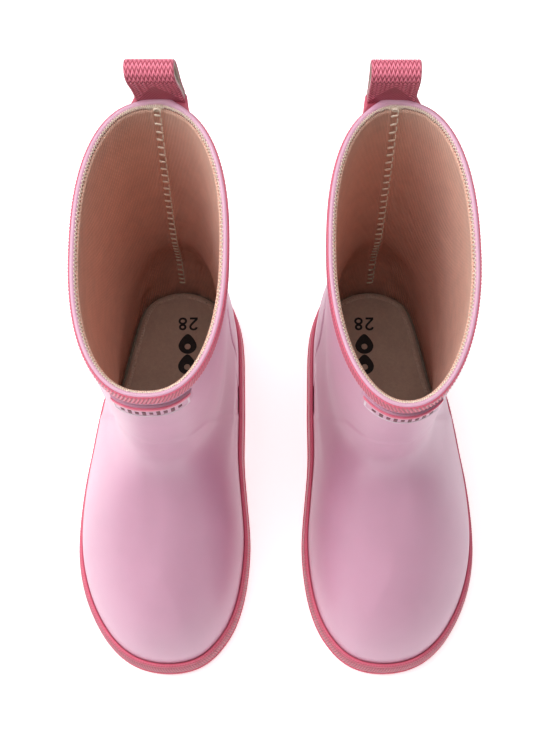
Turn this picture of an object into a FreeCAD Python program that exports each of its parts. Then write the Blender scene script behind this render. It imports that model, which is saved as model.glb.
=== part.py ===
import FreeCAD, Part
import os, math
from FreeCAD import Vector as V

# ---------------------------------------------------------------- driving dimensions, mm
F0 = 0.1                 # station of the origin along the foot
Z_LUG = 2.5              # tread lug height
Z_PLATE = 5.0            # top of the outsole plate
Z_FOX = 15.0             # top of the foxing band
FOX_IN = 0.8             # foxing stands this far inside the outsole's edge
FOX_T = 2.0              # foxing thickness
UP_IN = 3.0              # upper's outer face inside the outsole's edge
T_RUBBER = 2.2           # rubber wall
T_LINING = 1.0           # knitted lining
GAP = 0.05               # glue line between layers
GAP_L = 0.3              # between rubber and lining
GAP_B = 0.5              # between leg and binding or label
Z_RIM_BACK = 203.0       # rim height at the back
RIM_SLOPE = -6.0 / 120.0  # rim falls towards the toe
BIND_H = 8.5             # top binding height
BIND_T = 1.0             # top binding thickness
Z_INSOLE = 15.0          # insole top
INSOLE_IN = 7.6          # insole edge inside the outsole's edge
LOOP_W = 19.5            # pull loop webbing width
LOOP_P = 45.8            # pull loop centre from the mid plane
LOOP_TOP = 227.5         # top of the pull loop
N_RING = 56              # points round each section

# ---------------------------------------------------------------- outsole outline
# station along the foot, distance of the outer and inner edge from the mid plane
LAT = [(-99.4, 53.0), (-97.5, 59.5), (-94.5, 65.5), (-89.8, 70.9), (-81.5, 74.9), (-73.2, 77.2), (-65.0, 78.9),
       (-56.8, 80.8), (-48.7, 82.3), (-40.7, 84.4), (-32.7, 86.8), (-24.8, 88.1), (-16.9, 89.5),
       (-9.1, 90.5), (-1.4, 91.7), (6.3, 93.0), (14.0, 93.9), (21.5, 94.6), (29.1, 95.1), (36.5, 95.3),
       (44.0, 95.0), (51.3, 94.1), (58.6, 92.5), (65.9, 90.3), (73.1, 87.3), (80.3, 83.4), (86.6, 79.0),
       (92.5, 73.2), (96.3, 67.6), (99.0, 60.5)]
MED = [(99.4, 41.5), (97.0, 34.8), (93.2, 29.4), (86.6, 23.8), (80.3, 19.9), (73.1, 17.1), (65.9, 15.1),
       (58.6, 13.8), (51.3, 12.9), (44.0, 12.4), (36.5, 12.3), (29.1, 12.8), (21.5, 13.5), (14.0, 14.2),
       (6.3, 14.9), (-1.4, 15.5), (-9.1, 15.6), (-16.9, 15.5), (-24.8, 15.4), (-32.7, 15.4), (-40.7, 15.6),
       (-48.7, 15.7), (-56.8, 15.8), (-65.0, 16.2), (-73.2, 17.4), (-81.5, 19.8), (-89.8, 23.9),
       (-94.5, 29.3), (-97.5, 35.2), (-99.4, 41.5)]
RAW = [(-100.0, 47.3)] + LAT + [(100.3, 51.0)] + MED      # station, distance; heel, outer side, toe, inner side


def catmull(pts, n):
    """n points at equal spacing on a closed smooth curve through pts"""
    m = len(pts)
    fine = []
    for i in range(m):
        p0, p1, p2, p3 = (pts[(i + k - 1) % m] for k in range(4))
        for j in range(8):
            t = j / 8.0
            fine.append(tuple(0.5 * ((2 * b) + (-a + c) * t + (2 * a - 5 * b + 4 * c - d) * t * t +
                                     (-a + 3 * b - 3 * c + d) * t ** 3)
                              for a, b, c, d in zip(p0, p1, p2, p3)))
    fine.append(fine[0])
    s = [0.0]
    for a, b in zip(fine, fine[1:]):
        s.append(s[-1] + math.hypot(b[0] - a[0], b[1] - a[1]))
    out = []
    k = 0
    for i in range(n):
        t = s[-1] * i / n
        while s[k + 1] < t:
            k += 1
        w = (t - s[k]) / (s[k + 1] - s[k])
        out.append(tuple(a + (b - a) * w for a, b in zip(fine[k], fine[k + 1])))
    return out


def smooth(pts, n):
    m = len(pts)
    for _ in range(n):
        pts = [tuple((pts[i - 1][k] + 2 * pts[i][k] + pts[(i + 1) % m][k]) / 4.0 for k in (0, 1)) for i in range(m)]
    return pts


OUT = smooth(catmull(RAW, 120), 2)


def inset(pts, t):
    m = len(pts)
    out = []
    for i in range(m):
        a, b = pts[i - 1], pts[(i + 1) % m]
        dx, dy = b[0] - a[0], b[1] - a[1]
        L = math.hypot(dx, dy)
        # the curve runs heel, outer side, toe, inner side: inward is towards smaller distance on the outer side
        out.append((pts[i][0] + t * dy / L, pts[i][1] - t * dx / L))
    return out


def table(x, pts):
    if x <= pts[0][0]:
        return pts[0][1]
    for (a, fa), (b, fb) in zip(pts, pts[1:]):
        if x <= b:
            w = (x - a) / (b - a)
            return fa + (fb - fa) * w
    return pts[-1][1]


def soft_table(x, pts, h):
    return (table(x - h, pts) + 2 * table(x - 0.5 * h, pts) + 2 * table(x, pts) + 2 * table(x + 0.5 * h, pts) +
            table(x + h, pts)) / 8.0


# ---------------------------------------------------------------- the upper as one closed form
# leg: half width, front and back stations of the outside of the rubber, by height
LEG = {
    "right": {"hw": [(0, 25.5), (60, 25.3), (80, 25.8), (100, 26.7), (130, 28.2), (165, 29.6), (203, 30.5), (230, 31.5)],
              "pc": [(0, 47.6), (80, 48.2), (130, 48.6), (203, 48.9), (230, 48.9)],
              "ff": [(0, 20.0), (80, 22.5), (100, 24.0), (130, 26.0), (165, 29.0), (200, 32.2), (230, 35.0)],
              "fb": [(0, -92.5), (60, -90.5), (90, -88.0), (120, -87.2), (165, -88.4), (203, -90.8), (230, -92.8)],
              "nf": [(0, 2.35), (230, 2.35)]},
    "left": {"hw": [(0, 25.5), (60, 25.3), (80, 25.6), (100, 26.4), (130, 27.5), (165, 28.6), (203, 29.3), (230, 30.0)],
             "pc": [(0, 47.6), (80, 48.2), (130, 48.6), (203, 49.1), (230, 49.1)],
             "ff": [(0, 20.0), (80, 22.5), (100, 24.0), (130, 26.6), (165, 31.3), (200, 36.3), (230, 40.0)],
             "fb": [(0, -92.5), (60, -90.5), (90, -88.0), (120, -87.2), (165, -88.2), (203, -90.6), (230, -92.5)],
             "nf": [(0, 2.35), (120, 2.3), (203, 2.08), (230, 2.05)]}}
LEG_NB = 2.38
SIDE = "right"
# foot dome: ridge height and edge radius, by station
RIDGE = [(-110, 90.0), (5, 90.0), (20, 89.0), (30, 84.0), (40, 76.5), (55, 65.5), (70, 58.0), (85, 53.0), (110, 50.0)]
EDGE_R = [(-110, 27.0), (-60, 27.5), (-20, 30.5), (20, 34.0), (50, 36.0), (110, 36.0)]
DOME_M = 2.0
Z_DOME = 12.0
BLEND = 15.0
UPPER = inset(OUT, UP_IN)

GX0, GX1, GY0, GY1, GS = -108.0, 108.0, 4.0, 104.0, 3.0
NX, NY = int((GX1 - GX0) / GS) + 2, int((GY1 - GY0) / GS) + 2


def sdist(x, y):
    best = 1e9
    inside = False
    m = len(UPPER)
    for i in range(m):
        ax, ay = UPPER[i - 1]
        bx, by = UPPER[i]
        dx, dy = bx - ax, by - ay
        t = ((x - ax) * dx + (y - ay) * dy) / (dx * dx + dy * dy)
        t = 0.0 if t < 0 else 1.0 if t > 1 else t
        d = (x - ax - t * dx) ** 2 + (y - ay - t * dy) ** 2
        if d < best:
            best = d
        if (ay > y) != (by > y) and x < (bx - ax) * (y - ay) / (by - ay) + ax:
            inside = not inside
    d = math.sqrt(best)
    return d if inside else -d


GRID = [[sdist(GX0 + i * GS, GY0 + j * GS) for j in range(NY)] for i in range(NX)]


def plan(F, p):
    x, y = (F - GX0) / GS, (p - GY0) / GS
    i, j = min(max(int(x), 0), NX - 2), min(max(int(y), 0), NY - 2)
    a, b = x - i, y - j
    return ((GRID[i][j] * (1 - a) + GRID[i + 1][j] * a) * (1 - b) +
            (GRID[i][j + 1] * (1 - a) + GRID[i + 1][j + 1] * a) * b)


def field(p, F, z):
    """negative inside the upper, in mm near its surface"""
    L = LEG[SIDE]
    hw, pc = soft_table(z, L["hw"], 14), table(z, L["pc"])
    ff, fb = soft_table(z, L["ff"], 14), soft_table(z, L["fb"], 14)
    fc, hl = (ff + fb) / 2, (ff - fb) / 2
    dp, dF = p - pc, F - fc
    n = table(z, L["nf"]) if dF > 0 else LEG_NB
    r = math.hypot(dp, dF) + 1e-6
    rho = ((abs(dp) / hw) ** n + (abs(dF) / hl) ** n) ** (1 / n) + 1e-6
    leg = r - r / rho
    R, H = table(F, EDGE_R), soft_table(F, RIDGE, 10)
    s = plan(F, p)
    u, v = max((R - s) / R, 0.0), max((z - Z_DOME) / (H - Z_DOME), 0.0)
    rho = (u ** DOME_M + v ** DOME_M) ** (1 / DOME_M)
    foot = (rho - 1) * (R if v < 0.5 else R + (H - Z_DOME - R) * (v - 0.5) * 1.2)
    w = min(max((z - 17.0) / 35.0, 0.0), 1.0)
    k = 0.5 + (BLEND - 0.5) * w * w * (3 - 2 * w)        # the leg's fillet fades out above the sole
    h = min(max(0.5 + 0.5 * (foot - leg) / k, 0.0), 1.0)
    return foot * (1 - h) + leg * h - k * h * (1 - h)


def ring_z(z0, F):
    """sections tilt gradually from level at the sole to the rim's slope"""
    w = min(max((z0 - 100.0) / (Z_RIM_BACK - 100.0), 0.0), 1.0)
    return z0 + RIM_SLOPE * w * (F + 90.0)


FRONT = [(0, 97.0), (14, 97.0), (30, 95.0), (45, 86.0), (55, 72.0), (65, 57.0), (78, 40.0), (95, 30.0), (120, 26.0),
         (203, 32.0), (230, 34.0)]
BACK = [(0, -97.0), (40, -95.5), (60, -92.0), (100, -88.0), (130, -87.0), (203, -90.0), (230, -92.0)]


def ring(z0):
    """closed section of the outside of the upper: point and unit normal at each step"""
    ff, fb = table(z0, FRONT), table(z0, BACK)
    fc, hl = (ff + fb) / 2, (ff - fb) / 2
    L = max(hl - 30.0, 0.0)
    pc = 48.2 if z0 > 60 else 48.2 + (60 - z0) / 60.0 * 4.0
    out = []
    for i in range(N_RING):
        th = 2 * math.pi * i / N_RING
        c, s = math.cos(th), math.sin(th)
        f0 = fc + L * c
        pb = pc + (0.0 if f0 > 0 else 0.0)
        if z0 < 60:
            pb = 47.6 + (f0 + 60) / 120.0 * 5.5
        lo, hi = -12.0, 70.0

        def g(r):
            F, p = f0 + r * c, pb + r * s
            return field(p, F, ring_z(z0, F))
        while g(lo) > 0 and lo > -60:
            lo -= 6.0
        for _ in range(26):
            mid = (lo + hi) / 2
            if g(mid) < 0:
                lo = mid
            else:
                hi = mid
        r = (lo + hi) / 2
        F, p = f0 + r * c, pb + r * s
        z = ring_z(z0, F)
        e = 0.4
        n = ((field(p + e, F, z) - field(p - e, F, z)), (field(p, F + e, z) - field(p, F - e, z)),
             (field(p, F, z + e) - field(p, F, z - e)))
        L3 = math.sqrt(sum(q * q for q in n)) + 1e-9
        out.append(((p, F, z), tuple(q / L3 for q in n)))
    return out


RINGS = {}


def section(z0, t):
    """section at height z0, moved in by t along the wall's thickness and kept in its own plane"""
    if (SIDE, z0) not in RINGS:
        RINGS[SIDE, z0] = ring(z0)
    out = []
    for (p, F, z), (np_, nF, nz) in RINGS[SIDE, z0]:
        h = max(math.hypot(np_, nF), 0.38)
        p2, F2 = p - np_ / h * t / h, F - nF / h * t / h
        out.append((p2, F2, ring_z(z0, F2)))
    return out


def place(p, F, z):
    """both boots have their inner edge towards the mid plane and the toe towards -Y"""
    return V(-p if SIDE == "right" else p, F0 - F, z)


def closed(pts):
    b = Part.BSplineCurve()
    n = len(pts)
    b.interpolate(Points=[place(*q) for q in pts], PeriodicFlag=True, Parameters=[i / float(n) for i in range(n + 1)])
    return Part.Wire([b.toShape()])


def loft(wires):
    s = Part.makeLoft(wires, True, False)
    return s.Solids[0] if s.Solids else s


def sleeve(zs, t_out, t_in):
    """a wall between two offsets of the upper, from height zs[0] to zs[-1]"""
    o = loft([closed(section(z, t_out)) for z in zs])
    zi = [zs[0] - 1.5] + list(zs) + [zs[-1] + 1.5]
    return o.cut(loft([closed(section(z, t_in)) for z in zi]))


def flat(pts, z):
    return closed([(p, F, z) for F, p in pts])


def thin(pts, n=60):
    return [pts[int(i * len(pts) / n)] for i in range(n)]


def plate(t, z0, z1, t2=None):
    a, b = thin(inset(OUT, t)), thin(inset(OUT, t if t2 is None else t2))
    return loft([flat(a, z0), flat(b, z1)])


def band(t_out, t_in, z0, z1, t_top=None):
    o = plate(t_out, z0, z1, t_top)
    i = plate(t_in, z0 - 1, z1 + 1)
    return o.cut(i)


def box(p0, p1, f0, f1, z0, z1):
    return Part.makeBox(p1 - p0, f1 - f0, z1 - z0, V(-p1 if SIDE == "right" else p0, F0 - f1, z0))


def across(face, w):
    """extrude a face by w away from the mid plane"""
    return face.extrude(V(-w if SIDE == "right" else w, 0, 0))


def back_at(p, z):
    lo, hi = -120.0, -40.0
    for _ in range(30):
        m = (lo + hi) / 2
        if field(p, m, z) > 0:
            lo = m
        else:
            hi = m
    return lo


def front_at(p, z):
    lo, hi = 0.0, 60.0
    for _ in range(30):
        m = (lo + hi) / 2
        if field(p, m, z) < 0:
            lo = m
        else:
            hi = m
    return lo


def cutter(off):
    """half space behind and above the edge of the vamp, a steep plane from the leg's front to the heel"""
    a, b = (27.0, 131.0 + off), (-34.0, 0.0 + off)
    dx, dz = b[0] - a[0], b[1] - a[1]
    A = (a[0] - dx * 3, a[1] - dz * 3)
    B = (b[0] + dx * 3, b[1] + dz * 3)
    pts = [place(0, A[0], A[1]), place(0, B[0], B[1]), place(0, -600, B[1]), place(0, -600, A[1])]
    return across(Part.Face(Part.makePolygon(pts + [pts[0]])), 120)


def seam(p, zs, half, t_in, t_out):
    """narrow strip up the inside of the back wall"""
    secs = []
    for z in zs:
        q = [place(p - half, back_at(p, z) + t_in, z), place(p + half, back_at(p, z) + t_in, z),
             place(p + half, back_at(p, z) + t_out, z), place(p - half, back_at(p, z) + t_out, z)]
        secs.append(Part.makePolygon(q + [q[0]]))
    return Part.makeLoft(secs, True, True).Solids[0]


def patch(pa, pb, za, zb, t0, t1, n=7):
    """slab that follows the leg's front from pa to pb"""
    secs = []
    for i in range(n):
        p = pa + (pb - pa) * i / (n - 1.0)
        q = [place(p, front_at(p, z) + t, z) for z, t in ((za, t0), (za, t1), (zb, t1), (zb, t0))]
        secs.append(Part.makePolygon(q + [q[0]]))
    return Part.makeLoft(secs, True, True).Solids[0]


def arc(cf, cz, r, a0, a1, n):
    return [(cf + r * math.cos(a0 + (a1 - a0) * i / n), cz + r * math.sin(a0 + (a1 - a0) * i / n)) for i in range(n + 1)]


def prism(poly, z0, z1):
    """poly: list of (distance from mid plane, station)"""
    w = Part.makePolygon([place(p, F, z0) for p, F in poly + [poly[0]]])
    return Part.Face(w).extrude(V(0, 0, z1 - z0))


def seg(marks, p0, p1, f0, f1):
    marks.append(box(p0, p1, f0, f1, Z_INSOLE + 0.02, Z_INSOLE + 0.2))


def digit(marks, on, pc, f_low, w, h, t):
    """block numeral read from the toe side with the heel up: bars are top, upper left, upper right, middle,
    lower left, lower right, foot"""
    m = 1.0 if SIDE == "right" else -1.0
    top, mid, low = f_low, f_low - h / 2, f_low - h
    g = GAP
    L0, L1 = (pc + w / 2 - t, pc + w / 2) if m > 0 else (pc - w / 2, pc - w / 2 + t)
    R0, R1 = (pc - w / 2, pc - w / 2 + t) if m > 0 else (pc + w / 2 - t, pc + w / 2)
    if on[0]:
        seg(marks, pc - w / 2, pc + w / 2, low, low + t)
    if on[3]:
        seg(marks, pc - w / 2, pc + w / 2, mid - t / 2, mid + t / 2)
    if on[6]:
        seg(marks, pc - w / 2, pc + w / 2, top - t, top)
    if on[1]:
        seg(marks, R0, R1, low + t + g, mid - t / 2 - g)
    if on[2]:
        seg(marks, L0, L1, low + t + g, mid - t / 2 - g)
    if on[4]:
        seg(marks, R0, R1, mid + t / 2 + g, top - t - g)
    if on[5]:
        seg(marks, L0, L1, mid + t / 2 + g, top - t - g)


T_WEB, T_TAPE = 1.5, 1.0
AN = T_WEB + T_TAPE
Z_PIVOT = 207.6
R_TOP = 4.6


def build(side):
    global SIDE
    SIDE = side
    node = {}
    # ------------------------------------------------------------ sole
    tread = plate(1.6, 0.0, Z_LUG + 0.2)
    grooves = []
    for k in range(9):                                   # chevron grooves under the ball and toe
        f = 4.0 + k * 11.0
        grooves.append(prism([(5, f - 4), (53, f + 5), (100, f - 4), (100, f), (53, f + 9), (5, f)], -1, Z_LUG))
    for k in range(4):                                   # and under the heel
        f = -90.0 + k * 11.0
        grooves.append(prism([(5, f + 9), (47, f), (85, f + 9), (85, f + 13), (47, f + 4), (5, f + 13)], -1, Z_LUG))
    grooves.append(prism([(5, -40), (100, -40), (100, -4), (53, 5), (5, -4)], -1, Z_LUG))   # open arch
    grooves.append(prism([(51.2, 30), (54.8, 30), (54.8, 110), (51.2, 110)], -1, Z_LUG))
    tread = tread.cut(Part.makeCompound(grooves))
    node["outsole"] = plate(0.0, Z_LUG, Z_PLATE).fuse(tread).removeSplitter()
    node["foxing_band"] = band(FOX_IN, FOX_IN + FOX_T, Z_PLATE + GAP, Z_FOX, FOX_IN + 0.35)
    guard = band(FOX_IN - 0.75, FOX_IN - 0.03, Z_PLATE + GAP, Z_FOX - 3.0)
    node["toe_guard"] = guard.common(box(0, 110, 48.0, 110, 0, 30))
    node["midsole_filler"] = plate(UP_IN + T_RUBBER + GAP, Z_PLATE + GAP, 8.0)
    node["lasting_board"] = plate(UP_IN + T_RUBBER + T_LINING + 0.2, 8.0 + GAP, 9.8)

    # ------------------------------------------------------------ upper
    zs = [Z_PLATE + GAP, 10, 16, 23, 30, 37, 44, 50, 56, 62, 68, 74, 80, 87, 95, 105, 118, 132, 150, 170, 188, Z_RIM_BACK]
    wall = sleeve(zs, 0.0, T_RUBBER)
    node["leg_rubber"] = wall.common(cutter(GAP * 2))
    node["vamp_rubber"] = wall.cut(cutter(-GAP * 2))
    zc = [Z_FOX + 0.3, 22, 30, 38, 46, 54, 62, 70]
    node["heel_counter"] = sleeve(zc, -1.0, -GAP).common(box(0, 110, -110, -42, 0, 120))

    # ------------------------------------------------------------ lining
    t0 = T_RUBBER + GAP_L
    t1 = t0 + T_LINING
    # both linings are parts of one tube that runs parallel to the rubber wall
    zl = [zs[0] - 1.5] + zs + [zs[-1] + 1.5]
    tube = loft([closed(section(z, t0)) for z in zl]).cut(loft([closed(section(z, t1)) for z in [zl[0] - 1.5] + zl[1:-1] + [zl[-1] + 1.5]]))

    def layer(z0, z1):
        pts = [place(0, -150, z0), place(0, 150, z0), place(0, 150, ring_z(z1, 150)), place(0, -150, ring_z(z1, -150))]
        return tube.common(across(Part.Face(Part.makePolygon(pts + [pts[0]])), 120))
    node["foot_lining"] = layer(8.05, 72.0)
    node["leg_lining"] = layer(72.0 + GAP, Z_RIM_BACK - 0.4)
    node["rim_overlock"] = sleeve([Z_RIM_BACK - 0.3, Z_RIM_BACK + 0.3], t0, t1)
    node["lining_seam"] = seam(47.2, [20, 30, 44, 56, 68, 80, 105, 132, 150, 170, 188, 202.0], 1.4, t1 - 0.25, t1 + 0.75).cut(tube)
    strips = [q for q in node["lining_seam"].Solids if q.Volume > 20]
    node["lining_seam"] = strips[0] if len(strips) == 1 else Part.makeCompound(strips)

    # ------------------------------------------------------------ insole, one loose piece
    node["insole_foam"] = plate(INSOLE_IN, 10.15, 14.0)
    node["insole_cover"] = plate(INSOLE_IN + 0.1, 14.0 + 0.02, Z_INSOLE)
    node["insole_edge"] = band(INSOLE_IN + 1.8, INSOLE_IN + 3.2, Z_INSOLE + 0.02, Z_INSOLE + 0.4)
    marks = []
    near, far = (41.4, 47.4)
    a, b = (near, far) if side == "right" else (far, near)
    digit(marks, (1, 0, 1, 1, 1, 0, 1), a, -70.5, 4.2, 7.0, 1.1)
    digit(marks, (1, 1, 1, 1, 1, 1, 1), b, -70.5, 4.2, 7.0, 1.1)
    for k in range(6):                                   # a row of plain bars down the middle
        seg(marks, 38.4, 50.4, -65.0 + k * 9.0, -59.0 + k * 9.0)
    node["insole_print"] = Part.makeCompound(marks)

    # ------------------------------------------------------------ pull loop at the back of the rim
    back_f = back_at(LOOP_P, 200.0)
    neck = back_f - 0.35 - AN                            # middle between the loop's two legs

    def loop_path(d):
        """outline of the loop d outside its middle gap, from the neck's front over the top to the neck's back"""
        cz = LOOP_TOP - R_TOP
        cf = neck - 2.1
        up, dn = [], []
        n = 7
        r = R_TOP - T_WEB - T_TAPE + d
        for i in range(n):
            w = i / float(n)
            e = w * w * (3 - 2 * w)
            z = Z_PIVOT + (cz - Z_PIVOT) * w
            up.append((neck + d + GAP + (cf + r - neck - d - GAP) * e, z))
            dn.append((neck - d - GAP + (cf - r - neck + d + GAP) * e, z))
        return up + arc(cf, cz, r, 0, math.pi, 14) + dn[::-1]

    def ribbon(d0, d1, half):
        o, i = loop_path(d1), loop_path(d0)
        poly = o + i[::-1]
        pts = [place(LOOP_P - half, f, z) for f, z in poly]
        return across(Part.Face(Part.makePolygon(pts + [pts[0]])), 2 * half)

    node["pull_loop_tape"] = ribbon(0.0, T_TAPE, LOOP_W / 2 - 0.6)
    # the webbing closes under the neck, round the line where the loop folds
    rims = []
    for d in (AN, T_TAPE + 0.02):
        q = loop_path(d) + arc(neck, Z_PIVOT, d + GAP, math.pi, 2 * math.pi, 10)[1:-1]
        q = [place(LOOP_P - LOOP_W / 2, f, z) for f, z in q]
        rims.append(Part.makePolygon(q + [q[0]]))
    body = across(Part.Face(rims[0]), LOOP_W)
    hole = across(Part.Face(rims[1]), LOOP_W)
    node["pull_loop"] = body.cut(hole)
    half = LOOP_W / 2
    z_lo = Z_RIM_BACK - BIND_H - 1.5
    node["loop_anchor"] = Part.makeCompound([
        box(LOOP_P - half, LOOP_P + half, neck + 0.03, neck + AN, z_lo, 204.75),
        box(LOOP_P - half, LOOP_P + half, neck - AN, neck - 0.03, z_lo, 204.75)])

    # ------------------------------------------------------------ top binding, bulging over the loop's ends
    def bulged(z, t, f_out):
        ps = section(z, t)
        m = len(ps)
        fine = []
        for k in range(m):
            a, b, c, d = (ps[(k + q) % m] for q in (-1, 0, 1, 2))
            fine.append(b)
            fine.append(tuple((9 * (b[q] + c[q]) - a[q] - d[q]) / 16.0 for q in range(3)))
        out = []
        for p, F, zz in fine:
            if F < -60.0:
                w = min(max((16.5 - abs(p - LOOP_P)) / 5.6, 0.0), 1.0)
                w = w * w * (3 - 2 * w)
                F2 = F + (f_out - F) * w
                out.append((p, F2, ring_z(z, F2)))
            else:
                out.append((p, F, zz))
        return out

    rings = [bulged(Z_RIM_BACK - BIND_H, -GAP_B, neck - AN - 0.15), bulged(Z_RIM_BACK - BIND_H, -BIND_T - GAP_B, neck - AN - 1.15),
             bulged(Z_RIM_BACK, -BIND_T - GAP_B, neck - AN - 1.15), bulged(Z_RIM_BACK, -GAP_B, neck - AN - 0.15)]
    slices = [Part.makePolygon([place(*r[k]) for r in rings] + [place(*rings[0][k])]) for k in range(len(rings[0]))]
    strip = Part.makeLoft(slices, True, True, True)
    node["top_binding"] = strip.Solids[0] if strip.Solids else strip

    # ------------------------------------------------------------ label on the leg's front
    pl, z0, z1 = 47.7, 173.5, 184.5
    if side == "left":
        pl = 48.4
    node["front_label"] = patch(pl - 15.5, pl + 15.5, z0, z1, GAP_B, 1.5)
    node["front_label_frame"] = Part.makeCompound([
        patch(pl - 15.0, pl + 15.0, z1 - 2.2, z1 - 0.3, 1.6, 1.9),
        patch(pl - 14.6, pl + 14.6, z0 + 0.4, z0 + 1.0, 1.6, 1.85),
        patch(pl - 14.6, pl + 14.6, z1 - 3.2, z1 - 2.6, 1.6, 1.85),
        patch(pl - 14.6, pl - 14.0, z0 + 1.05, z1 - 3.25, 1.6, 1.85, 3),
        patch(pl + 14.0, pl + 14.6, z0 + 1.05, z1 - 3.25, 1.6, 1.85, 3)])
    bars = []
    for k, h in enumerate((3.2, 4.4, 5.2, 4.4, 5.2, 4.4, 3.2)):
        c = pl + (k - 3) * 3.2
        zc = (z0 + 1.0 + z1 - 3.2) / 2
        bars.append(patch(c - 0.6, c + 0.6, zc - h / 2, zc + h / 2, 1.6, 1.85, 3))
    node["front_label_motif"] = Part.makeCompound(bars)
    print(side, "loop neck station", round(neck, 2))
    return node


# ---------------------------------------------------------------- write both boots
os.makedirs("parts", exist_ok=True)
lo, hi = [1e9] * 3, [-1e9] * 3
for side in ("right", "left"):
    for name, shape in sorted(build(side).items()):
        shape.exportStep("parts/%s_%s.step" % (side, name))
        b = shape.BoundBox
        lo = [min(a, c) for a, c in zip(lo, (b.XMin, b.YMin, b.ZMin))]
        hi = [max(a, c) for a, c in zip(hi, (b.XMax, b.YMax, b.ZMax))]
        print("%-6s%-20s solids %d valid %s volume %.0f" % (side, name, len(shape.Solids), shape.isValid(), shape.Volume))
print("box", [round(a, 2) for a in lo], [round(a, 2) for a in hi], "centre y", round((lo[1] + hi[1]) / 2, 3))
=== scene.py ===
import bpy
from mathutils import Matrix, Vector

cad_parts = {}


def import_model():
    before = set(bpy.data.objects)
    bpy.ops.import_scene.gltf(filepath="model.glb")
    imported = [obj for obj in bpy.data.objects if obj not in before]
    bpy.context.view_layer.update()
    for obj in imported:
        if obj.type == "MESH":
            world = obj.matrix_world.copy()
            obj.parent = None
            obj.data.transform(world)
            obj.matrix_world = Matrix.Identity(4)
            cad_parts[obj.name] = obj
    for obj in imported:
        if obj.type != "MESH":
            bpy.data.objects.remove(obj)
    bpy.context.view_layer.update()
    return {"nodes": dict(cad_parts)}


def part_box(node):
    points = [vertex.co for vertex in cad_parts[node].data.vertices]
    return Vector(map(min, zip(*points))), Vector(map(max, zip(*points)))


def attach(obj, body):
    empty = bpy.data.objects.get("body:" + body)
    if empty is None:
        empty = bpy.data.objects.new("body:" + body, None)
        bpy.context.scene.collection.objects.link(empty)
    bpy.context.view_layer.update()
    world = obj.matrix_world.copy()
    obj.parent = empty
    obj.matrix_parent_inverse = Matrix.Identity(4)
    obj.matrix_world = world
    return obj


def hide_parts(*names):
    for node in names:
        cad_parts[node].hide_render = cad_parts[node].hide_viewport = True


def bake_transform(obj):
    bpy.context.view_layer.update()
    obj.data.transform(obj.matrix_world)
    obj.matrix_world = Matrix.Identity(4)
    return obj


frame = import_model()

import bpy, bmesh, math
import numpy as np

MM = 0.001
F0 = 0.1                  # station of the origin, as in the frame
PI2 = 2 * math.pi

# =====================================================================================================
# the boot's form, the same design tables as the frame's, sampled more finely (mm)
# =====================================================================================================
LAT = [(-99.4, 53.0), (-97.5, 59.5), (-94.5, 65.5), (-89.8, 70.9), (-81.5, 74.9), (-73.2, 77.2), (-65.0, 78.9),
       (-56.8, 80.8), (-48.7, 82.3), (-40.7, 84.4), (-32.7, 86.8), (-24.8, 88.1), (-16.9, 89.5),
       (-9.1, 90.5), (-1.4, 91.7), (6.3, 93.0), (14.0, 93.9), (21.5, 94.6), (29.1, 95.1), (36.5, 95.3),
       (44.0, 95.0), (51.3, 94.1), (58.6, 92.5), (65.9, 90.3), (73.1, 87.3), (80.3, 83.4), (86.6, 79.0),
       (92.5, 73.2), (96.3, 67.6), (99.0, 60.5)]
MED = [(99.4, 41.5), (97.0, 34.8), (93.2, 29.4), (86.6, 23.8), (80.3, 19.9), (73.1, 17.1), (65.9, 15.1),
       (58.6, 13.8), (51.3, 12.9), (44.0, 12.4), (36.5, 12.3), (29.1, 12.8), (21.5, 13.5), (14.0, 14.2),
       (6.3, 14.9), (-1.4, 15.5), (-9.1, 15.6), (-16.9, 15.5), (-24.8, 15.4), (-32.7, 15.4), (-40.7, 15.6),
       (-48.7, 15.7), (-56.8, 15.8), (-65.0, 16.2), (-73.2, 17.4), (-81.5, 19.8), (-89.8, 23.9),
       (-94.5, 29.3), (-97.5, 35.2), (-99.4, 41.5)]
RAW = [(-100.0, 47.3)] + LAT + [(100.3, 51.0)] + MED
LEG = {
    "right": {"hw": [(0, 25.5), (60, 25.3), (80, 25.8), (100, 26.7), (130, 28.2), (165, 29.6), (203, 30.5), (230, 31.5)],
              "pc": [(0, 47.6), (80, 48.2), (130, 48.6), (203, 48.9), (230, 48.9)],
              "ff": [(0, 20.0), (80, 22.5), (100, 24.0), (130, 26.0), (165, 29.0), (200, 32.2), (230, 35.0)],
              "fb": [(0, -92.5), (60, -90.5), (90, -88.0), (120, -87.2), (165, -88.4), (203, -90.8), (230, -92.8)],
              "nf": [(0, 2.35), (230, 2.35)]},
    "left": {"hw": [(0, 25.5), (60, 25.3), (80, 25.6), (100, 26.4), (130, 27.5), (165, 28.6), (203, 29.3), (230, 30.0)],
             "pc": [(0, 47.6), (80, 48.2), (130, 48.6), (203, 49.1), (230, 49.1)],
             "ff": [(0, 20.0), (80, 22.5), (100, 24.0), (130, 26.6), (165, 31.3), (200, 36.3), (230, 40.0)],
             "fb": [(0, -92.5), (60, -90.5), (90, -88.0), (120, -87.2), (165, -88.2), (203, -90.6), (230, -92.5)],
             "nf": [(0, 2.35), (120, 2.3), (203, 2.08), (230, 2.05)]}}
LEG_NB = 2.38
RIDGE = [(-110, 90.0), (5, 90.0), (20, 89.0), (30, 84.0), (40, 76.5), (55, 65.5), (70, 58.0), (85, 53.0), (110, 50.0)]
EDGE_R = [(-110, 27.0), (-60, 27.5), (-20, 30.5), (20, 34.0), (50, 36.0), (110, 36.0)]
FRONT = [(0, 97.0), (14, 97.0), (30, 95.0), (45, 86.0), (55, 72.0), (65, 57.0), (78, 40.0), (95, 30.0), (120, 26.0),
         (203, 32.0), (230, 34.0)]
BACK = [(0, -97.0), (40, -95.5), (60, -92.0), (100, -88.0), (130, -87.0), (203, -90.0), (230, -92.0)]
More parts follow.
